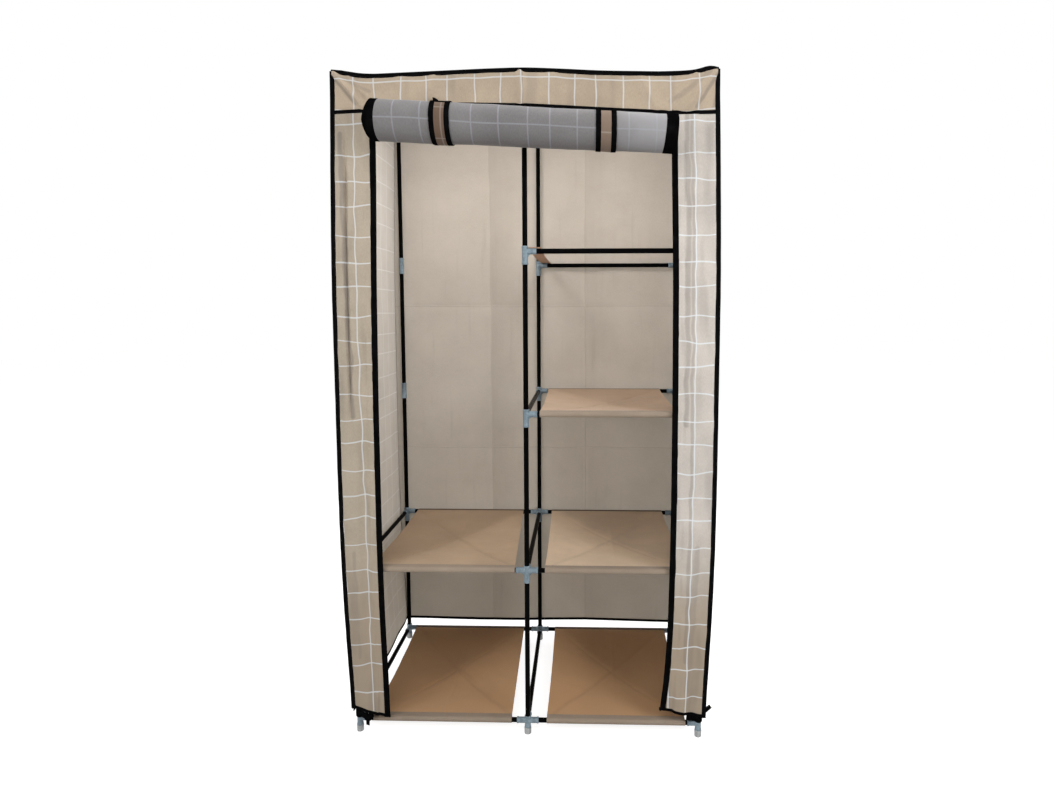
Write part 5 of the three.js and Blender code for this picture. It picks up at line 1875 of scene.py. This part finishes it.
@dataclass
class Shelves:
    """Cloth shelves stretched between their sleeves on the bars, and the strap between the bare bars."""

    layout: Layout
    finishes: Finishes
    sleeve_radius: float = 0.0067
    cloth_half: float = 0.0005
    sag: float = 0.0050
    pyramid: float = 0.013
    bare_level: int = 3
    crease: float = 0.0016
    seam_inset: float = 0.0115
    ends: tuple[tuple[str, tuple[float, float, float, float]], ...] = (
        ("shelf_level0_left", (-0.388, -0.394, -0.040, -0.050)),
        ("shelf_level0_right", (0.047, 0.048, 0.388, 0.394)),
        ("shelf_level1_left", (-0.386, -0.381, -0.0295, -0.050)),
        ("shelf_level1_right", (0.044, 0.039, 0.386, 0.381)),
        ("shelf_level2_right", (0.033, 0.0295, 0.366, 0.370)),
    )

    def section(self, samples: int = 110) -> tuple[Array, Array, Array]:
        """The path of the cloth from seam to seam, in the plane of Y and Z around the shelf's middle.

        It goes round the front bar and over its top, spans to the rear bar and goes round that. Both loops
        are arcs of the sleeve's radius that pinch to a stitched seam beside the bar.

        Args:
            samples: points along the span.

        Returns:
            Y, Z and the share of sag at each point.
        """
        half = self.layout.half_depth
        r = self.sleeve_radius
        angle = np.linspace(np.radians(-38.0), np.radians(-270.0), 30)
        loop_y, loop_z = -half + r * np.cos(angle), r * np.sin(angle)
        pinch_y = np.array([-half + self.seam_inset + 0.004, -half + self.seam_inset])
        pinch_z = np.array([r - 0.0032, r - 0.0042])
        span_y = np.linspace(-half, half, samples)[1:-1]
        along = np.clip(span_y / (half - self.seam_inset), -1.0, 1.0)
        front_y = np.concatenate([pinch_y, loop_y])
        front_z = np.concatenate([pinch_z, loop_z])
        y = np.concatenate([front_y, span_y, -front_y[::-1]])
        z = np.concatenate([front_z, np.full_like(span_y, r), front_z[::-1]])
        hang = np.concatenate([np.zeros(front_y.size), 1.0 - along**2, np.zeros(front_y.size)])
        return y, z, hang

    def shelf(self, node: str, seed: float) -> None:
        """Builds one shelf in place of its node.

        Height = r − hang·(sag + 0.002·across⁴ − crease·folds − waves) − pyramid·(1 − larger of |across| and
        |along|), where across and along run from −1 to 1 over the shelf. Each end lies on a straight line
        from its front place to its rear place.

        Args:
            node: the CAD node.
            seed: picks the waves.
        """
        low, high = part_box(node)
        left_front, left_rear, right_front, right_rear = dict(self.ends)[node]
        centre_z = min(self.layout.levels, key=lambda level: abs(level - (low.z + high.z) / 2.0))
        y, z, hang = self.section()
        half_depth = self.layout.half_depth
        across = np.linspace(-1.0, 1.0, 90)[None, :]
        along = (y / half_depth)[:, None]
        folds = -ridge(np.abs(across) - np.abs(along), 0.06) + 0.6 * ridge(across - 0.02, 0.04)
        waves = rumple(across * 0.17, along * 0.24, (0.0026, 0.09, seed), (0.0012, 0.035, seed + 3.0))
        outward = (np.abs(across) ** 24 + np.abs(np.clip(along, -1.0, 1.0)) ** 24 + 1e-12) ** (1.0 / 24.0)
        tent = self.pyramid * np.clip(1.0 - outward, 0.0, 1.0) * np.minimum(hang[:, None] * 6.0, 1.0)
        sag = self.sag + 0.002 * across**4 - self.crease * folds - waves
        height = z[:, None] - hang[:, None] * sag - tent
        depth_share = (np.clip(along, -1.0, 1.0) + 1.0) / 2.0
        left = left_front + (left_rear - left_front) * depth_share
        right = right_front + (right_rear - right_front) * depth_share
        half_width = float(right_front - left_front) / 2.0
        pull = 1.0 - 0.006 * hang[:, None] * smooth((np.abs(across) - 0.8) / 0.2)
        x = (left + right) / 2.0 + across * (right - left) / 2.0 * pull
        points = stack(x, self.layout.middle_y + y[:, None], centre_z + height)
        length = run_length(points[:, points.shape[1] // 2])
        uv = stack(x - float(left_front + right_front) / 2.0, length[:, None] - length[-1] / 2.0)
        on_sleeve = np.abs((y[1:] + y[:-1]) / 2.0) > half_depth - self.seam_inset
        at_rear = np.arange(on_sleeve.size) > on_sleeve.size // 2
        # Painted shade: the rear sleeve takes the darker cloth.
        slots = np.where(on_sleeve, np.where(at_rear, 2, 1), 0)[:, None]
        builder = MeshBuilder().shell(points, uv, self.cloth_half, slots, slots, rim=1)
        self.stitches(builder, points, y, half_depth)
        name = node.replace("shelf_", "cloth_shelf_")
        materials = [self.cloth(node), self.finishes.sleeve, self.finishes.rear_sleeve]
        piece = builder.finish(name, materials, 50.0)
        place(piece, Slot.SHELF, nodes=[node])

    def cloth(self, node: str) -> Material:
        """The cloth of a shelf, with painted light: shaded copies at the left and high up, a lit copy at the
        right.
        """
        if node.endswith("left"):
            return self.finishes.shelf
        return self.finishes.shelf_upper if "level2" in node else self.finishes.shelf_right

    def stitches(self, builder: MeshBuilder, points: Array, y: Array, half_depth: float) -> None:
        """Adds the sewn line beside each sleeve: a thin thread that dips between stitches."""
        for edge in (-1.0, 1.0):
            target = edge * (half_depth - self.seam_inset)
            span = np.nonzero(np.abs(y - target) == np.min(np.abs(y[33:-33] - target)))[0]
            row = int(span[np.argmax(points[span, 0, 2])])
            fine = spread(700)
            line = resample(points[row], spread(points.shape[1]), fine)
            line[:, 2] += 0.0005 + 0.0003 * np.sin(TAU * fine * 100.0)
            builder.carry(flat_section(0.0006, 0.0006, 6), line, (0.0, 1.0, 0.0), 1)

    def rail_strap(self) -> None:
        """Builds the strap laid over the two bare bars, which hooks over each and sags between them."""
        low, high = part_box("rail_strap")
        bar_z = self.layout.levels[self.bare_level]
        half = self.layout.half_depth
        r = 0.0088
        angle = np.linspace(np.radians(-232.0), np.radians(-270.0), 10)
        front_y = -half + r * np.cos(angle)
        front_z = r * np.sin(angle)
        span_y = np.linspace(-half, half, 50)[1:-1]
        hang = 1.0 - np.clip(span_y / (half - 0.012), -1.0, 1.0) ** 2
        y = np.concatenate([front_y, span_y, -front_y[::-1]])
        z = np.concatenate([front_z, r - 0.005 * hang, front_z[::-1]])
        across = np.linspace(-1.0, 1.0, 9)[None, :]
        centre_x, half_width = (low.x + high.x) / 2.0, (high.x - low.x) / 2.0
        x = centre_x + across * half_width
        on_bar = np.zeros(front_y.size)
        cup = 0.0008 * across**2 * np.concatenate([on_bar, hang, on_bar])[:, None]
        points = stack(x, self.layout.middle_y + y[:, None], bar_z + z[:, None] - cup)
        length = run_length(points[:, points.shape[1] // 2])
        uv = stack(x, length[:, None])
        edge = np.where(np.abs((across[0, 1:] + across[0, :-1]) / 2.0) > 0.8, 1, 0)[None, :]
        builder = MeshBuilder().shell(points, uv, 0.0006, edge, edge, rim=1)
        piece = builder.finish("strap_between_bars", [self.finishes.rail_strap] * 2, 50.0)
        place(piece, Slot.STRAP, "rail_strap", ["rail_strap"])

    def build(self) -> None:
        """Builds the shelves and the strap."""
        for seed, node in enumerate(sorted(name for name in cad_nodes() if name.startswith("shelf_"))):
            self.shelf(node, 91.0 + 7.0 * seed)
        self.rail_strap()


# Zips


@dataclass
class Zips:
    """A slider and a pull on each zip."""

    layout: Layout
    finishes: Finishes
    plate_points: int = 36
    body_size: tuple[float, float] = (0.0112, 0.0138)
    rib_size: tuple[float, float] = (0.0024, 0.006)
    tab_size: tuple[float, float] = (0.0074, 0.0275)
    hole_size: tuple[float, float] = (0.0036, 0.0062)

    def slab(self, builder: MeshBuilder, outline: Array, low: float, high: float,
             to_world: Callable[[Array], Array], hole: Array | None = None) -> None:
        """Adds a plate with eased edges from an outline, or a frame where it has a hole.

        Args:
            builder: where the plate goes.
            outline: points (a, b) around the plate.
            low: lower face.
            high: upper face.
            to_world: turns points (a, b, height) into places.
            hole: points around the hole, as many as the outline's.
        """
        ease = 0.0003
        centre = outline.mean(axis=0)
        inset = centre + (outline - centre) * (1.0 - ease / np.max(np.abs(outline - centre)))

        def ring(points: Array, height: float) -> Array:
            """One ring of the plate at a height."""
            return np.column_stack([points, np.full(len(points), height)])

        rings = [ring(inset, low), ring(outline, low + ease), ring(outline, high - ease), ring(inset, high)]
        if hole is None:
            middle = np.tile(centre, (len(outline), 1))
            rings = [ring(middle, low), *rings, ring(middle, high)]
            builder.grid(to_world(np.stack(rings)), closed=(False, True), flip=True)
        else:
            rings = [*rings, ring(hole, high), ring(hole, low)]
            builder.grid(to_world(np.stack(rings)), closed=(True, True), flip=True)

    def slider(self, side: str) -> None:
        """Builds a slider: two plates waisted in the middle, a rib between and a bridge for the pull."""
        centre = sum(np.array(corner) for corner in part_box(f"zip_slider_{side}")) / 2.0
        plane = self.layout.cover_front

        def upright(points: Array) -> Array:
            """Lays a plate in the plane of the zip: a across, b up, height forwards."""
            return stack(centre[0] + points[..., 0], plane - points[..., 2], centre[2] + points[..., 1])

        builder = MeshBuilder()
        outline = superellipse(*self.body_size, 3.2, self.plate_points)
        waist = 1.0 - 0.16 * bump(outline[:, 1:2] + 0.002, 0.006)
        outline = outline * np.hstack([waist, np.ones_like(waist)])
        for low, high in ((0.0014, 0.0027), (-0.0027, -0.0014)):
            self.slab(builder, outline, low, high, upright)
        rib = superellipse(*self.rib_size, 3.0, self.plate_points) + (0.0, 0.0035)
        self.slab(builder, rib, -0.0015, 0.0015, upright)
        angle = np.linspace(0.0, np.pi, 22)
        bridge = stack(centre[0], plane - 0.0025 - 0.0042 * np.sin(angle), centre[2] + 0.0052 * np.cos(angle))
        builder.carry(flat_section(0.0034, 0.0011, 10), bridge, RIGHT)
        piece = builder.finish(f"slider_{side}", [self.finishes.zip_metal], 35.0)
        place(piece, Slot.ZIP, f"slider_{side}", [f"zip_slider_{side}"])

    def pull(self, side: str) -> None:
        """Builds a pull: a small ring on the bridge and a tapered tab with a slot."""
        low, high = (np.array(corner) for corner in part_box(f"zip_pull_{side}"))
        centre_x = (low[0] + high[0]) / 2.0
        pin_y, pin_z = (low[1] + high[1]) / 2.0, high[2] - 0.0025

        def hanging(points: Array) -> Array:
            """Lays the tab in its hanging plane, b upwards from the pin."""
            return stack(centre_x + points[..., 0], pin_y - points[..., 2], pin_z + points[..., 1])

        builder = MeshBuilder()
        outline = superellipse(*self.tab_size, 3.4, self.plate_points)
        taper = 1.0 - 0.28 * smooth((outline[:, 1:2] + 0.004) / 0.016)
        outline = outline * np.hstack([taper, np.ones_like(taper)]) + (0.0, -0.0117)
        hole = superellipse(*self.hole_size, 3.0, self.plate_points) + (0.0, -0.0012)
        self.slab(builder, outline, -0.0007, 0.0007, hanging, hole)
        piece = builder.finish(f"pull_tab_{side}", [self.finishes.zip_metal], 35.0)
        place(piece, Slot.ZIP, f"pull_{side}", [f"zip_pull_{side}"])

    def build(self) -> None:
        """Builds both sliders and pulls."""
        for side in ("left", "right"):
            self.slider(side)
            self.pull(side)


# Studio


@dataclass(frozen=True)
class Studio:
    """Camera at the photograph's place, a plain pale floor and soft level light."""

    layout: Layout
    width_px: float = 1054.0
    height_px: float = 787.0
    focal_px: float = 669.6
    principal_px: tuple[float, float] = (562.8, 372.8)
    from_front: tuple[float, float, float] = (0.134, -1.575, 1.041)
    pitch: float = 5.15
    yaw: float = -1.68
    roll: float = 0.07

    def camera(self) -> None:
        """Places the camera along its yaw and pitch, with the shift that the photograph's framing has."""
        pitch, yaw, roll = (math.radians(angle) for angle in (self.pitch, self.yaw, self.roll))
        ahead = np.array([math.sin(yaw), math.cos(yaw), 0.0])
        forward = math.cos(pitch) * ahead - math.sin(pitch) * UP
        level = np.array([math.cos(yaw), -math.sin(yaw), 0.0])
        down = np.cross(forward, level)
        right = math.cos(roll) * level + math.sin(roll) * down
        lower = -math.sin(roll) * level + math.cos(roll) * down
        at = np.array(self.from_front) + (0.0, self.layout.front, 0.0)
        data = bpy.data.cameras.new("camera")
        data.sensor_width = 36.0
        data.lens = self.focal_px * data.sensor_width / self.width_px
        data.shift_x = (self.width_px / 2.0 - self.principal_px[0]) / self.width_px
        data.shift_y = (self.principal_px[1] - self.height_px / 2.0) / self.width_px
        camera = bpy.data.objects.new("camera", data)
        rows = np.column_stack([right, -lower, -forward, at])
        camera.matrix_world = Matrix([*rows.tolist(), [0.0, 0.0, 0.0, 1.0]])
        bpy.context.scene.collection.objects.link(camera)
        bpy.context.scene.camera = camera

    def floor(self) -> None:
        """Lays a pale floor that the camera sees as white, darkened only by the wardrobe's own shadow."""
        size = 12.0
        builder = MeshBuilder()
        steps = np.linspace(-size, size, 3)
        builder.grid(stack(steps[:, None], steps[None, :], -0.0005))
        shader = Shader("pale_floor")
        speck = shader.noise(shader.position(), 0.3, 3.0)
        shader.set("Base Color", shader.mix(speck, (0.5, 0.5, 0.5), (0.56, 0.56, 0.56)))
        shader.set("Roughness", 0.9)
        shader.set("Specular IOR Level", 0.0)
        seen = shader.node("ShaderNodeLightPath", output="Is Camera Ray")
        mirrored = shader.node("ShaderNodeLightPath", output="Is Glossy Ray")
        shader.set("Emission Color", shader.mix(seen.over(mirrored), (0.0, 0.0, 0.0), (0.84, 0.84, 0.84)))
        shader.set("Emission Strength", 1.0)
        floor = builder.finish("floor", [shader.material])
        floor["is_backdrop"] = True

    def lamp(self, name: str, place_at: Place, size: float, power: float, target: Place) -> Piece:
        """Adds a soft area lamp that faces a target."""
        data = bpy.data.lights.new(name, "AREA")
        data.shape = "SQUARE"
        data.size = size
        data.energy = power
        lamp = bpy.data.objects.new(name, data)
        back = unit(np.array(place_at, float) - np.array(target, float))
        side = unit(np.cross(UP, back))
        up = np.cross(back, side)
        rows = np.column_stack([side, up, back, np.array(place_at, float)])
        lamp.matrix_world = Matrix([*rows.tolist(), [0.0, 0.0, 0.0, 1.0]])
        bpy.context.scene.collection.objects.link(lamp)
        return lamp

    def light(self) -> None:
        """Sets an even pale world, white to the camera, soft lamps all round and a small fill in each bay."""
        world = bpy.data.worlds.new("studio")
        world.use_nodes = True
        tree = world.node_tree
        tree.nodes.clear()
        output = tree.nodes.new("ShaderNodeOutputWorld")
        dim, white = tree.nodes.new("ShaderNodeBackground"), tree.nodes.new("ShaderNodeBackground")
        dim.inputs["Strength"].default_value = 0.3
        for background in (dim, white):
            background.inputs["Color"].default_value = (1.0, 1.0, 1.0, 1.0)
        choose, rays = tree.nodes.new("ShaderNodeMixShader"), tree.nodes.new("ShaderNodeLightPath")
        tree.links.new(rays.outputs["Is Camera Ray"], choose.inputs[0])
        tree.links.new(dim.outputs[0], choose.inputs[1])
        tree.links.new(white.outputs[0], choose.inputs[2])
        tree.links.new(choose.outputs[0], output.inputs["Surface"])
        bpy.context.scene.world = world
        self.lamp("lamp_front", (-0.1, -2.0, 2.8), 1.3, 20.0, (0.0, 0.0, 1.1))
        self.lamp("lamp_front_left", (-1.5, -1.9, 1.3), 0.9, 18.5, (-0.2, 0.0, 0.9))
        self.lamp("lamp_front_right", (1.6, -1.7, 1.6), 0.9, 25.0, (0.3, 0.0, 0.9))
        self.lamp("lamp_above", (0.1, 0.1, 3.4), 1.4, 29.0, (0.0, 0.0, 1.5))
        self.lamp("lamp_left", (-2.0, 0.3, 1.7), 1.0, 14.0, (-0.4, 0.05, 0.9))
        self.lamp("lamp_right", (2.0, 0.3, 1.7), 1.0, 14.0, (0.4, 0.05, 0.9))
        self.lamp("lamp_back", (0.0, 2.3, 1.7), 1.1, 14.0, (0.0, 0.3, 0.9))
        for name, x, power in (("lamp_bay_left", -0.22, 1.3), ("lamp_bay_right", 0.2, 1.05)):
            inner = self.lamp(name, (x, -0.06, 1.48), 0.16, power, (x, 0.30, 1.1))
            inner.visible_camera = inner.visible_glossy = False
        bpy.context.scene.view_settings.view_transform = "Standard"

    def build(self) -> None:
        """Sets up the camera, the floor and the light."""
        self.camera()
        self.floor()
        self.light()


def corners(bounds: object) -> list[list[float]]:
    """Bounds as plain lists of numbers."""
    return [[float(value) for value in corner] for corner in bounds]


def main() -> None:
    """Builds the wardrobe around the fixed frame, in order."""
    logging.basicConfig(level=logging.INFO, format="%(message)s")
    solid_box = corners(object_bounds())
    layout = Layout.from_frame()
    finishes = Finishes.build()
    Studio(layout).build()
    TubeFrame(layout, finishes).build()
    cover = Cover(layout, finishes)
    cover.build()
    RolledDoor(layout, finishes, cover).build()
    Shelves(layout, finishes).build()
    Zips(layout, finishes).build()
    {"solids": solid_box, "visual": corners(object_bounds())}


if __name__ == "__main__":
    main()
